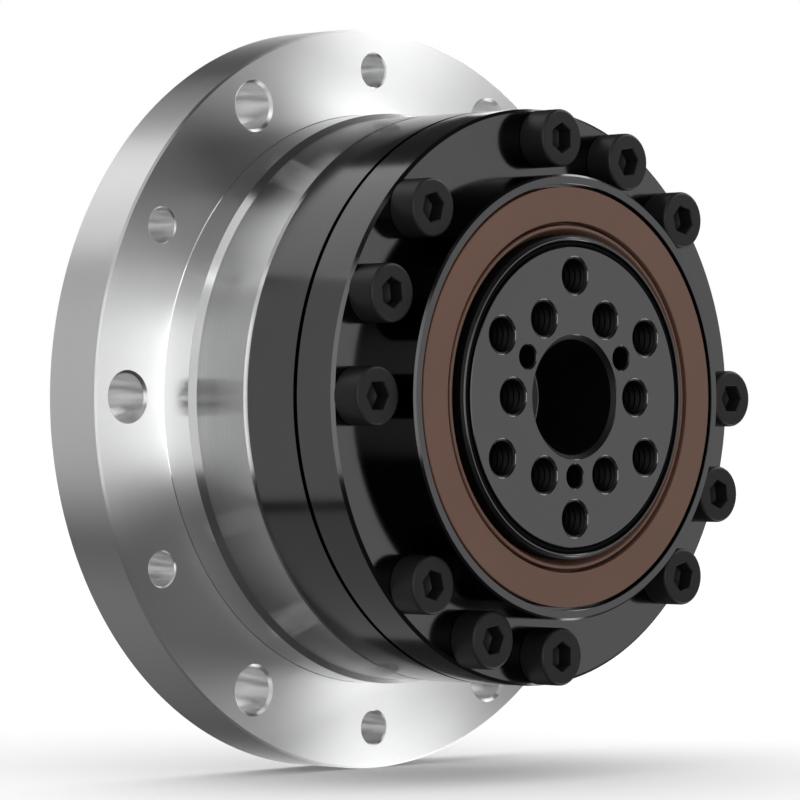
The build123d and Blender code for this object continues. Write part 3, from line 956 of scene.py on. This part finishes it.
@dataclass(frozen=True)
class CapScrew:
    """Socket cap screw, its head towards the front and the head's underside at a station."""

    thread_d: float
    head_d: float
    head_h: float
    key: float
    key_depth: float
    length: float
    edge: float = 0.3
    steps: int = 64

    def solid(self, name: str, station: float, facing: Facing = Facing.FRONT) -> bpy.types.Object:
        """Make the screw on the axis.

        Args:
            name: name of the object.
            station: where the underside of its head is.
            facing: which way the head looks.

        Returns:
            The screw in the maker's axes, in metres, so that a node tree can copy it.
        """
        head_r, shank_r, top = self.head_d / 2, self.thread_d / 2, self.head_h
        rim = arc((head_r - self.edge, top - self.edge), self.edge, 0, 90, 5)
        foot = self.edge / 4
        outline = [(0, -self.length), (shank_r - self.edge, -self.length), (shank_r, self.edge - self.length)]
        outline += [(shank_r, 0), (head_r - foot, 0), (head_r, foot), *rim, (0, top)]
        thing = lathe(name, outline, self.steps)
        across = self.key / math.sqrt(3)
        mouth = self.edge / 3
        floor = top - self.key_depth
        socket = [(0, floor - self.key / 4), (across, floor), (across, top - mouth)]
        socket += [(across + 2 * mouth, top + mouth), (0, top + mouth)]
        subtract(thing, lathe("socket", socket, 6))
        shade(thing)
        if facing is Facing.REAR:
            thing.data.transform(Matrix.Rotation(math.pi, 4, "X"))
        thing.data.transform(Matrix.Scale(MM, 4) @ Matrix.Translation((0, 0, station)))
        return thing


M3 = dict(thread_d=3.0, head_d=5.5, head_h=3.0, key=2.5, key_depth=1.6)
M4 = dict(thread_d=4.0, head_d=7.0, head_h=4.0, key=3.0, key_depth=2.2)


@dataclass
class Copier:
    """Sets copies of a piece round the axis with the circle tree.

    Where no place stays empty, the step between empty places is one that is never reached.
    """

    tree: GeometryGraph
    never: int = 1000

    def spread(
        self,
        name: str,
        one: bpy.types.Object,
        finish: Finish,
        places: int,
        circle_d: float,
        start: float = 0.0,
        gap: tuple[int, int] | None = None,
        stretch: float = 0.0,
    ) -> bpy.types.Object:
        """Copy a piece and remove the original.

        Args:
            name: name of the result.
            one: piece to copy, in metres on the axis.
            finish: finish of the copies.
            places: how many places the circle has.
            circle_d: its diameter in mm.
            start: angle of the first place in degrees.
            gap: (every, offset) of the places that stay empty.
            stretch: share by which the circle is stretched along X and squeezed across it.

        Returns:
            All copies as one mesh in the row's axes.
        """
        every, offset = gap or (self.never, -1)
        made = self.tree.make(
            name,
            Piece=one,
            Places=places,
            Circle_Radius=circle_d / 2 * MM,
            Start_Angle=math.radians(start),
            Gap_Every=every,
            Gap_Offset=offset,
            Stretch=stretch,
            Finish=material_of(finish),
        )
        bpy.data.objects.remove(one)
        return made


def ring_torus(name: str, centre: Point, cord_d: float, steps: int = 24) -> bpy.types.Object:
    """Make an O-ring.

    Args:
        name: name of the object.
        centre: (radius, station) of the middle of its cord.
        cord_d: thickness of its cord in mm.
        steps: how many faces there are round the cord.

    Returns:
        The ring in the maker's axes.
    """
    outline = arc(centre, cord_d / 2, 0, 360, steps)[:-1]
    thing = lathe(name, outline)
    thing.data.shade_smooth()
    return thing


@dataclass
class Housing:
    """Mounting flange, boss and body in one aluminium piece, with its O-rings."""

    flange_d: float = 73.0
    flange_edge: float = 0.2
    circle_d: float = 65.0
    clear_hole_d: float = 4.5
    tapped_hole_d: float = 3.3
    holes: int = 6
    clear_chamfer: float = 0.28
    tapped_chamfer: float = 0.14
    boss_d: float = 56.0
    boss_edge: float = 0.08
    body_d: float = 55.0
    body_edge: float = 0.38
    pilot_d: float = 53.0
    seat_r: float = 26.02
    bore_r: float = 18.41
    rear_groove_d: float = 56.6
    rear_groove_w: float = 1.2
    groove_depth: float = 0.85
    cord_d: float = 0.8

    def build(self) -> None:
        """Make the shell and the O-rings."""
        flange_r, boss_r, body_r = self.flange_d / 2, self.boss_d / 2, self.body_d / 2
        pilot_r, groove_r = self.pilot_d / 2, self.rear_groove_d / 2
        half = self.rear_groove_w / 2
        edge, small = self.flange_edge, self.boss_edge
        shell = lathe("housing_shell", [
            (pilot_r + small, 0), (groove_r - half, 0), (groove_r - half, self.groove_depth),
            (groove_r + half, self.groove_depth), (groove_r + half, 0),
            (flange_r - edge, 0), (flange_r, edge),
            (flange_r, AT.flange_front - edge), (flange_r - edge, AT.flange_front),
            (boss_r + small, AT.flange_front), (boss_r, AT.flange_front + small),
            (boss_r, AT.boss_end), (body_r, AT.body_start),
            (body_r, AT.housing_end - self.body_edge), (body_r - self.body_edge, AT.housing_end),
            (self.bore_r, AT.housing_end), (self.bore_r, AT.spline_front),
            (self.seat_r, AT.spline_front), (self.seat_r, AT.pilot_floor),
            (pilot_r, AT.pilot_floor), (pilot_r, small),
        ])
        for diameter, chamfer, start in (
            (self.clear_hole_d, self.clear_chamfer, 0.0),
            (self.tapped_hole_d, self.tapped_chamfer, 180 / self.holes),
        ):
            hole = Hole(diameter / 2, 0, AT.flange_front, chamfer)
            drill(shell, hole, self.circle_d / 2, around(self.holes, start))
        shade(shell)
        Piece(shell, FINISH.housing, Body.HOUSING, ("housing_flange",)).hand_over()
        station = self.groove_depth - self.cord_d / 2
        cord = ring_torus("rear_face_cord", (groove_r, station), self.cord_d)
        Piece(cord, FINISH.oring, Body.HOUSING, ("rear_face_oring",)).hand_over()
        dress_node("housing_oring", FINISH.oring)


@dataclass
class OutputBearing:
    """Two-part outer ring of the crossed-roller bearing, its screws and rollers."""

    copier: Copier
    ring_d: float = 55.0
    edge: float = 0.3
    split_gap: float = 0.5
    split_depth: float = 0.8
    bore_r: float = 19.45
    groove_r: float = 21.392
    groove_mouth: float = 1.942
    neck_d: float = 42.26
    neck_edge: float = 0.2
    seal_bore_d: float = 39.88
    mouth_gap: float = 0.26
    mouth_edge: float = 0.05
    mouth_depth: float = 1.0
    web_r: float = 16.8
    screw_circle_d: float = 49.26
    screw_places: int = 16
    screw_gap: tuple[int, int] = (4, 1)
    screw_length: float = 16.0
    screw_hole_r: float = 1.6

    def build(self) -> None:
        """Make the rings and their screws."""
        ring_r, neck_r, seal_r = self.ring_d / 2, self.neck_d / 2, self.seal_bore_d / 2
        half, edge = self.split_gap / 2, self.edge
        step_r = ring_r - self.split_depth
        mouth_r, mouth_floor = seal_r + self.mouth_gap, AT.neck_rim - self.mouth_depth
        back = lathe("bearing_ring_back", [
            (self.bore_r, AT.housing_end), (ring_r - edge / 2, AT.housing_end),
            (ring_r, AT.housing_end + edge / 2), (ring_r, AT.ring_split - half),
            (step_r, AT.ring_split - half), (step_r, AT.ring_split),
            (self.groove_r, AT.ring_split), (self.bore_r, AT.ring_split - self.groove_mouth),
        ])
        front = lathe("bearing_ring_front_half", [
            (self.groove_r, AT.ring_split), (step_r, AT.ring_split),
            (step_r, AT.ring_split + half), (ring_r, AT.ring_split + half),
            (ring_r, AT.ring_face - edge), (ring_r - edge, AT.ring_face), (neck_r, AT.ring_face),
            (neck_r, AT.neck_rim - self.neck_edge), (neck_r - self.neck_edge, AT.neck_rim),
            (mouth_r + self.mouth_edge, AT.neck_rim), (mouth_r, AT.neck_rim - self.mouth_edge),
            (mouth_r, mouth_floor), (seal_r, mouth_floor), (seal_r, AT.seal_pocket),
            (self.web_r, AT.seal_pocket), (self.web_r, AT.web_back),
            (self.bore_r, AT.web_back), (self.bore_r, AT.ring_split + self.groove_mouth),
        ])
        every, offset = self.screw_gap
        spots = [angle for i, angle in enumerate(around(self.screw_places)) if i % every != offset]
        for ring, start, end, node in (
            (back, AT.housing_end, AT.ring_split, "bearing_ring_rear"),
            (front, AT.ring_split, AT.ring_face, "bearing_ring_front"),
        ):
            drill(ring, Hole(self.screw_hole_r, start, end, steps=24), self.screw_circle_d / 2, spots)
            shade(ring)
            Piece(ring, FINISH.ring, Body.HOUSING, (node,)).hand_over()
        one = CapScrew(length=self.screw_length, **M3).solid("bearing_screw", AT.ring_face)
        screws = self.copier.spread(
            "bearing_cap_screws", one, FINISH.screw, self.screw_places, self.screw_circle_d,
            gap=self.screw_gap,
        )
        Piece(screws, FINISH.screw, Body.HOUSING, ("bearing_screws",)).dress()
        dress_node("crossed_rollers", FINISH.ground)


@dataclass
class Seal:
    """Brown rotary seal in the neck, with its steel case and garter spring."""

    outer_r: float = 19.92
    mouth_r: float = 16.63
    lip_r: float = 15.9
    lip_w: float = 0.4
    lip_inset: float = 0.12
    shaft_r: float = 15.39
    back_r: float = 16.9
    inset: float = 0.1
    groove_depth: float = 1.2
    case_front: float = 31.3
    case_r: float = 19.52
    edge: float = 0.12
    smooth_angle: float = math.radians(35)

    def build(self) -> None:
        """Make the rubber and dress the steel in it."""
        front = AT.neck_rim - self.inset
        floor = front - self.groove_depth
        lip_end = AT.seal_pocket + self.lip_w
        middle = (lip_end + floor) / 2
        edge = self.edge
        top = front - self.lip_inset
        nose = self.lip_w / 2
        outline = [(self.case_r, AT.seal_pocket + FIT_GAP), (self.outer_r, AT.seal_pocket + FIT_GAP)]
        outline += arc((self.outer_r - edge, front - edge), edge, 0, 90, 4)
        outline += arc((self.mouth_r + edge, front - edge), edge, 90, 180, 4)
        outline += arc((self.mouth_r - edge, floor + edge), edge, 0, -90, 4)
        outline += arc((self.lip_r + self.lip_w + edge, floor + edge), edge, 270, 180, 4)
        outline += arc((self.lip_r + nose, top - nose), nose, 0, 180, 6)
        outline += [
            (self.shaft_r, floor),
            (self.lip_r, floor - self.lip_w),
            (self.shaft_r, middle),
            (self.lip_r, lip_end + self.lip_w),
            (self.lip_r, lip_end),
            (self.back_r, lip_end),
            (self.back_r, self.case_front),
            (self.case_r, self.case_front),
        ]
        rubber = lathe("seal_rubber", outline)
        shade(rubber, self.smooth_angle)
        Piece(rubber, FINISH.seal, Body.HOUSING, ("output_seal",)).hand_over()
        dress_node("seal_case", FINISH.zinc)
        dress_node("seal_spring", FINISH.zinc)


@dataclass
class OutputFlange:
    """Output flange that is also the bearing's inner ring, with the O-ring in its face."""

    face_d: float = 30.68
    face_edge: float = 0.28
    bore_r: float = 5.5
    bore_chamfer: float = 0.45
    ring_r: float = 18.95
    groove_r: float = 17.008
    groove_mouth: float = 1.942
    seat_r: float = 13.0
    seat_relief: float = 0.6
    shoulder_edge: float = 0.3
    hole_r: float = 1.65
    hole_depth: float = 8.0
    hole_chamfer: float = 0.03
    thread: tuple[float, float] = (0.2, 0.7)
    circle_d: float = 23.0
    inner_circle_d: float = 17.0
    holes: int = 6
    dowel_circle_d: float = 15.0
    dowel_hole_r: float = 1.1
    dowel_chamfer: float = 0.15
    dowels: int = 3
    dowel_start: float = 30.0
    cord_groove_d: float = 29.1
    cord_groove_w: float = 0.62
    cord_groove_depth: float = 0.55
    cord_d: float = 0.42
    sleeve_depth: float = 9.9
    sleeve_wall: float = 0.08

    def build(self) -> None:
        """Make the flange and its O-ring."""
        face_r, edge, shoulder = self.face_d / 2, self.face_edge, self.shoulder_edge
        groove_in = (self.cord_groove_d - self.cord_groove_w) / 2
        groove_out = groove_in + self.cord_groove_w
        rear, face = AT.inner_ring_back, AT.output_face
        relief = rear + self.seat_relief
        floor = face - self.cord_groove_depth
        lip = edge / 4
        disc = lathe("output_disc", [
            (self.bore_r, rear), (self.seat_r, rear), (self.seat_r, relief),
            (self.ring_r - shoulder, relief), (self.ring_r, relief + shoulder),
            (self.ring_r, AT.ring_split - self.groove_mouth), (self.groove_r, AT.ring_split),
            (self.ring_r, AT.ring_split + self.groove_mouth),
            (self.ring_r, AT.shoulder - shoulder), (self.ring_r - shoulder, AT.shoulder),
            (face_r, AT.shoulder), (face_r, face - edge), (face_r - edge, face),
            (groove_out + lip, face), (groove_out, face - lip), (groove_out, floor),
            (groove_in, floor), (groove_in, face - lip), (groove_in - lip, face),
            (self.bore_r + self.bore_chamfer, face), (self.bore_r, face - self.bore_chamfer),
        ])
        through = Hole(self.hole_r, rear, face, self.hole_chamfer, thread=self.thread)
        blind = replace(through, start=face - self.hole_depth, blind=True)
        drill(disc, blind, self.circle_d / 2, around(self.holes, 180 / self.holes))
        drill(disc, through, self.inner_circle_d / 2, around(self.holes))
        dowel = Hole(self.dowel_hole_r, rear, face, self.dowel_chamfer, steps=32)
        drill(disc, dowel, self.dowel_circle_d / 2, around(self.dowels, self.dowel_start))
        shade(disc)
        Piece(disc, FINISH.output, Body.OUTPUT, ("output_flange",)).hand_over()
        cord = ring_torus("output_face_cord", (self.cord_groove_d / 2, floor + self.cord_d / 2), self.cord_d)
        Piece(cord, FINISH.oring, Body.OUTPUT, ("output_face_oring",)).hand_over()
        end = face - self.sleeve_depth
        inner_r = self.bore_r - self.sleeve_wall
        outline = [(inner_r, rear), (self.bore_r, rear), (self.bore_r, end), (inner_r, end)]
        sleeve = lathe("bore_sleeve", outline)
        shade(sleeve)
        Piece(sleeve, FINISH.sleeve, Body.OUTPUT, ()).hand_over()


@dataclass(frozen=True)
class Toothing:
    """Sizes that the rigid ring and the cup share."""

    module: float = 0.35
    ring_teeth: int = 102
    cup_teeth: int = 100
    addendum: float = 0.26
    dedendum: float = 0.32
    flank_slope: float = math.tan(math.radians(30))
    backlash: float = 0.03
    rim_wall: float = 0.48

    @property
    def ring_pitch_r(self) -> float:
        """Pitch radius of the rigid ring."""
        return self.module * self.ring_teeth / 2

    @property
    def cup_pitch_r(self) -> float:
        """Pitch radius of the round, unbent cup."""
        return self.module * self.cup_teeth / 2

    @property
    def deflection(self) -> float:
        """How far the cup is bent outwards at the ends of the oval."""
        return self.ring_pitch_r - self.cup_pitch_r

    @property
    def quarter_pitch(self) -> float:
        """Quarter of the tooth pitch."""
        return math.pi * self.module / 4

    @property
    def rim_inner_r(self) -> float:
        """Inside radius of the unbent rim."""
        return self.cup_pitch_r - self.dedendum - self.rim_wall

    @property
    def stretch(self) -> float:
        """Share by which the rim's inside is stretched to an oval."""
        return self.deflection / self.rim_inner_r


TEETH = Toothing()


@dataclass
class RingGear:
    """Rigid ring with internal teeth, and the screws that hold it."""

    copier: Copier
    teeth_tree: GeometryGraph
    outer_r: float = 26.0
    edge: float = 0.25
    screws: int = 8
    screw_start: float = 11.25
    screw_circle_d: float = 44.4
    screw_length: float = 8.0
    head_floor: float = 5.1
    counterbore_r: float = 2.9
    screw_hole_r: float = 1.6

    def build(self) -> None:
        """Make the ring and its screws."""
        ring = self.teeth_tree.make(
            "ring_gear",
            Teeth=TEETH.ring_teeth,
            Pitch_Radius=TEETH.ring_pitch_r * MM,
            Low=-TEETH.addendum * MM,
            High=TEETH.dedendum * MM,
            Half_Width=(TEETH.quarter_pitch + TEETH.backlash / 2) * MM,
            Flank_Slope=TEETH.flank_slope,
            Deflection=0.0,
            Neutral_Radius=TEETH.rim_inner_r * MM,
            Plain_Radius=self.outer_r * MM,
            Plain_Stretch=0.0,
            Start=AT.pilot_floor * MM,
            Length=(AT.spline_front - AT.pilot_floor) * MM,
            Finish=material_of(FINISH.spline),
        )
        ring.data.transform(turn_to_row().inverted())
        counterbore = (self.counterbore_r, self.head_floor)
        hole = Hole(self.screw_hole_r, AT.pilot_floor, AT.spline_front, counterbore=counterbore)
        drill(ring, hole, self.screw_circle_d / 2, around(self.screws, self.screw_start))
        shade(ring)
        Piece(ring, FINISH.spline, Body.HOUSING, ("circular_spline",)).hand_over()
        one = CapScrew(length=self.screw_length, **M3).solid("spline_screw", self.head_floor, Facing.REAR)
        screws = self.copier.spread(
            "ring_gear_screws", one, FINISH.screw, self.screws, self.screw_circle_d, self.screw_start
        )
        Piece(screws, FINISH.screw, Body.HOUSING, ("spline_screws",)).dress()


@dataclass
class Cup:
    """Thin steel cup with outer teeth, bent oval at its open end, and what fixes its bottom."""

    copier: Copier
    teeth_tree: GeometryGraph
    wall: float = 0.4
    corner_r: float = 1.2
    boss_r: float = 12.4
    bore_r: float = 5.7
    step: float = 0.4
    gap: float = 0.05
    bolt_length: float = 12.0
    bolts: int = 6
    bolt_circle_d: float = 17.0
    bolt_hole_r: float = 2.02
    rows: int = 14

    def build(self) -> None:
        """Make the rim, the cup, the clamp plate and the bolts."""
        rim = self.teeth_tree.make(
            "flexspline_rim",
            Teeth=TEETH.cup_teeth,
            Pitch_Radius=TEETH.cup_pitch_r * MM,
            Low=-TEETH.dedendum * MM,
            High=TEETH.addendum * MM,
            Half_Width=(TEETH.quarter_pitch - TEETH.backlash / 2) * MM,
            Flank_Slope=TEETH.flank_slope,
            Deflection=TEETH.deflection * MM,
            Neutral_Radius=(TEETH.rim_inner_r + TEETH.rim_wall / 2) * MM,
            Plain_Radius=TEETH.rim_inner_r * MM,
            Plain_Stretch=TEETH.stretch,
            Start=AT.pilot_floor * MM,
            Length=(AT.spline_front - AT.pilot_floor) * MM,
            Finish=material_of(FINISH.cup),
        )
        shade(rim)
        Piece(rim, FINISH.cup, Body.WAVE, ("flexspline",)).dress()
        cup = self.shell()
        Piece(cup, FINISH.cup, Body.OUTPUT, ("flexspline",)).hand_over()
        smooth_copy("flexspline_clamp", "cup_clamp_plate", FINISH.spline, Body.OUTPUT)
        smooth_copy("dowel_pins", "cup_dowel_pins", FINISH.ground, Body.OUTPUT)
        one = CapScrew(length=self.bolt_length, **M4).solid("cup_bolt", AT.bolt_heads, Facing.REAR)
        bolts = self.copier.spread("cup_bolts", one, FINISH.screw, self.bolts, self.bolt_circle_d)
        Piece(bolts, FINISH.screw, Body.OUTPUT, ("flexspline_bolts",)).dress()

    def shell(self) -> bpy.types.Object:
        """Make wall, rounded corner, diaphragm and boss of the cup, turned and then bent.

        Returns:
            The cup without its rim, in the maker's axes.
        """
        outer_r = TEETH.rim_inner_r + self.wall
        top = AT.inner_ring_back - self.step
        bend = top - self.corner_r
        start = AT.spline_front + self.gap
        corner = (outer_r - self.corner_r, bend)
        climb = [start + (bend - start) * i / self.rows for i in range(self.rows)]
        outline = [(outer_r, station) for station in climb]
        outline += arc(corner, self.corner_r, 0, 90)
        outline += [
            (self.boss_r, top),
            (self.boss_r, AT.inner_ring_back),
            (self.bore_r, AT.inner_ring_back),
            (self.bore_r, AT.cup_back),
            (self.boss_r, AT.cup_back),
            (self.boss_r, top - self.wall),
        ]
        outline += arc(corner, self.corner_r - self.wall, 90, 0)
        outline += [(outer_r - self.wall, station) for station in reversed(climb)]
        cup = lathe("flexspline_cup", outline)
        for vertex in cup.data.vertices:
            share = max(0.0, (bend - vertex.co.z) / (bend - AT.spline_front))
            vertex.co.x *= 1 + TEETH.stretch * share
            vertex.co.y *= 1 - TEETH.stretch * share
        hole = Hole(self.bolt_hole_r, AT.cup_back, AT.inner_ring_back, steps=32)
        drill(cup, hole, self.bolt_circle_d / 2, around(self.bolts))
        shade(cup)
        return cup


@dataclass
class WaveGenerator:
    """Oval plug with its thin ball bearing, and the Oldham coupling and hub that drive it."""

    copier: Copier
    race_gap: float = 0.05
    race_w: float = 6.0
    race_edge: float = 0.15
    outer_wall: float = 0.85
    inner_wall: float = 0.9
    shoulder: float = 0.75
    ball_d: float = 2.6
    balls: int = 23
    clearance: float = 0.05
    groove_steps: int = 10
    ball_steps: tuple[int, int] = (32, 16)
    plain_copies: tuple[tuple[str, str, Finish], ...] = (
        ("ball_separator", "ball_cage", FINISH.nylon),
        ("wave_plug", "oval_plug", FINISH.plug),
        ("oldham_insert", "coupling_insert", FINISH.bronze),
        ("oldham_hub", "input_hub", FINISH.plug),
        ("hub_set_screws", "hub_grub_screws", FINISH.screw),
        ("rub_washer", "hub_washer", FINISH.washer),
        ("snap_ring", "hub_snap_ring", FINISH.snap),
    )

    @property
    def race_r(self) -> float:
        """Outside radius of the outer race before it is bent."""
        return TEETH.rim_inner_r - self.race_gap

    @property
    def path_r(self) -> float:
        """Radius of the circle of ball centres before it is bent."""
        return self.race_r - self.outer_wall - self.ball_d / 2

    def race(self, name: str, plain_r: float, shoulder_r: float) -> bpy.types.Object:
        """Race with a groove for the balls.

        Args:
            name: name of the object.
            plain_r: radius of its plain side.
            shoulder_r: radius of the side with the groove.

        Returns:
            The race, bent oval.
        """
        half, edge = self.race_w / 2, self.race_edge
        groove_r = self.ball_d / 2 + self.clearance
        offset = shoulder_r - self.path_r
        reach = math.degrees(math.acos(abs(offset) / groove_r))
        middle = 0.0 if offset > 0 else 180.0
        away = 1 if plain_r > shoulder_r else -1
        low, high = AT.wave_middle - half, AT.wave_middle + half
        groove = arc((self.path_r, AT.wave_middle), groove_r, middle - reach * away, middle + reach * away,
                     self.groove_steps)
        outline = [
            (plain_r, low + edge), (plain_r - away * edge, low),
            (shoulder_r + away * edge, low), (shoulder_r, low + edge), *groove,
            (shoulder_r, high - edge), (shoulder_r + away * edge, high),
            (plain_r - away * edge, high), (plain_r, high - edge),
        ]
        thing = lathe(name, outline)
        thing.data.transform(Matrix.Diagonal((1 + TEETH.stretch, 1 - TEETH.stretch, 1, 1)))
        shade(thing)
        return thing

    def build(self) -> None:
        """Make the races and balls, and dress the plug, coupling and hub."""
        outer = self.race("outer_race", self.race_r, self.path_r + self.shoulder)
        Piece(outer, FINISH.ground, Body.WAVE, ("wave_outer_race",)).hand_over()
        plain_r = self.path_r - self.ball_d / 2 - self.inner_wall + FIT_GAP
        inner = self.race("inner_race", plain_r, self.path_r - self.shoulder)
        Piece(inner, FINISH.ground, Body.WAVE, ("wave_inner_race",)).hand_over()
        shape = bmesh.new()
        segments, rings = self.ball_steps
        bmesh.ops.create_uvsphere(shape, u_segments=segments, v_segments=rings, radius=self.ball_d / 2 * MM)
        ball = from_shape("ball", shape)
        ball.data.transform(Matrix.Translation((0, 0, AT.wave_middle * MM)))
        ball.data.shade_smooth()
        balls = self.copier.spread(
            "bearing_balls", ball, FINISH.ground, self.balls, 2 * self.path_r, stretch=TEETH.stretch
        )
        Piece(balls, FINISH.ground, Body.WAVE, ("wave_balls",)).dress()
        for node, name, finish in self.plain_copies:
            smooth_copy(node, name, finish, Body.WAVE)


@dataclass
class View:
    """Camera of the photograph: a long lens that looks at the gear from the front left."""

    azimuth: float = 45.14
    elevation: float = -0.43
    mm_per_pixel: float = 0.09894
    image_px: int = 800
    sensor_mm: float = 36.0
    axis_right_px: float = 26.29
    axis_up_px: float = -1.255
    distance_px: float = 4430.4

    def build(self) -> None:
        """Make the camera."""
        turn, tilt = math.radians(self.azimuth), math.radians(self.elevation)
        right = Vector((math.cos(turn), -math.sin(turn), 0))
        ahead = Vector((math.sin(turn) * math.cos(tilt), math.cos(turn) * math.cos(tilt), -math.sin(tilt)))
        up = right.cross(ahead)
        centre = Vector((0, -AT.flange_front, 0))
        offset = right * self.axis_right_px + up * self.axis_up_px - ahead * self.distance_px
        place = (centre + offset * self.mm_per_pixel) * MM
        data = bpy.data.cameras.new("camera")
        data.sensor_width = self.sensor_mm
        data.lens = self.distance_px * self.sensor_mm / self.image_px
        data.clip_start = 0.01
        camera = new_object("camera", data)
        basis = Matrix((right, up, -ahead)).transposed().to_4x4()
        camera.matrix_world = Matrix.Translation(place) @ basis
        bpy.context.scene.camera = camera


@dataclass(frozen=True)
class SoftBox:
    """Rectangular light panel that looks at the gear, its place and size given as angles in degrees.

    The azimuth counts from straight in front of the output face towards the viewer's right.
    """

    name: str
    azimuth: float
    height: float
    half_width: float
    half_height: float
    brightness: float
    distance: float = 1.0

    def build(self) -> None:
        """Set up the panel, which lights shiny surfaces only."""
        data = bpy.data.lights.new(self.name, "AREA")
        data.shape = "RECTANGLE"
        data.size = 2 * self.distance * math.tan(math.radians(self.half_width))
        data.size_y = 2 * self.distance * math.tan(math.radians(self.half_height))
        data.energy = self.brightness * math.pi * data.size * data.size_y
        turn, climb = math.radians(self.azimuth), math.radians(self.height)
        away = Vector((math.sin(turn) * math.cos(climb), -math.cos(turn) * math.cos(climb), math.sin(climb)))
        lamp = new_object(self.name, data)
        facing = away.to_track_quat("Z", "Y").to_matrix().to_4x4()
        lamp.matrix_world = Matrix.Translation(away * self.distance) @ facing
        lamp.visible_diffuse = False


@dataclass
class Studio:
    """Plain pale floor, pale surroundings and light panels."""

    floor_z: float = -36.5
    floor_r: float = 9.0
    floor_colour: Colour = (0.95, 0.95, 0.95)
    floor_stain: float = 0.98
    floor_steps: int = 96
    clouds_per_metre: float = 3.0
    ambient: float = 1.15
    mirrored: float = 0.05
    backdrop: float = 1.0
    boxes: tuple[SoftBox, ...] = (
        SoftBox("left_back_box", -135.0, 3.0, 11.0, 31.5, 0.75),
        SoftBox("top_back_box", -163.0, 48.0, 23.0, 14.0, 1.35),
        SoftBox("low_back_box", -160.0, -46.0, 30.0, 14.0, 0.42),
        SoftBox("rear_box", 178.0, 0.0, 15.0, 14.0, 0.9),
        SoftBox("far_box", 136.0, 5.0, 8.0, 13.0, 1.5),
        SoftBox("near_box", -52.0, 9.0, 12.0, 31.0, 1.8),
        SoftBox("sky_box", -85.0, 56.0, 30.0, 17.0, 1.3),
        SoftBox("right_box", 45.0, 0.0, 9.0, 9.0, 1.0),
        SoftBox("front_box", -16.0, 2.0, 14.0, 16.5, 4.2),
        SoftBox("top_right_box", 70.0, 32.0, 25.0, 16.0, 3.6),
        SoftBox("low_right_box", 66.0, -35.0, 21.0, 14.0, 3.3),
        SoftBox("low_front_box", 8.0, -31.0, 20.0, 8.0, 0.6),
    )

    def build(self) -> None:
        """Make the floor, the world and the lights."""
        self.floor()
        self.world()
        for box in self.boxes:
            box.build()
        bpy.context.scene.view_settings.view_transform = "Standard"

    def floor(self) -> None:
        """Large round floor just under the flange, kept out of the reflections."""
        edge = self.floor_r / MM
        floor = lathe("floor", [(0, 0), (edge, 0), (edge, -1), (0, -1)], self.floor_steps)
        floor.data.transform(Matrix.Translation((0, 0, self.floor_z * MM)) @ Matrix.Scale(MM, 4))
        graph = ShaderGraph("floor_paint")
        colour = graph.clouded(self.floor_colour, self.floor_stain, graph.noise(self.clouds_per_metre))
        graph.set(Base_Color=colour, Roughness=0.9, Specular_IOR_Level=0.0)
        floor.data.materials.append(graph.material)
        floor.visible_glossy = False
        floor.visible_shadow = False

    def world(self) -> None:
        """Even surroundings: white to the camera, pale as light, dark in reflections."""
        world = bpy.data.worlds.new("studio")
        world.use_nodes = True
        world.cycles.sampling_method = "NONE"
        bpy.context.scene.world = world
        graph = Graph(world.node_tree)
        path = graph.node("ShaderNodeLightPath")
        seen = Value(graph, path.outputs["Is Camera Ray"])
        glossy = Value(graph, path.outputs["Is Glossy Ray"])
        unseen = self.ambient + glossy * (self.mirrored - self.ambient)
        strength = unseen + seen * (self.backdrop - self.ambient)
        light = graph.node("ShaderNodeBackground", (1, 1, 1, 1), strength)
        graph.node("ShaderNodeOutputWorld", light.outputs[0])


def main() -> None:
    """Build the gear, its camera and its studio."""
    logging.basicConfig(level=logging.INFO, format="%(message)s")
    copier = Copier(circle_tree())
    teeth = tooth_tree()
    View().build()
    Housing().build()
    OutputBearing(copier).build()
    Seal().build()
    OutputFlange().build()
    RingGear(copier, teeth).build()
    Cup(copier, teeth).build()
    WaveGenerator(copier).build()
    Studio().build()


if __name__ == "__main__":
    main()
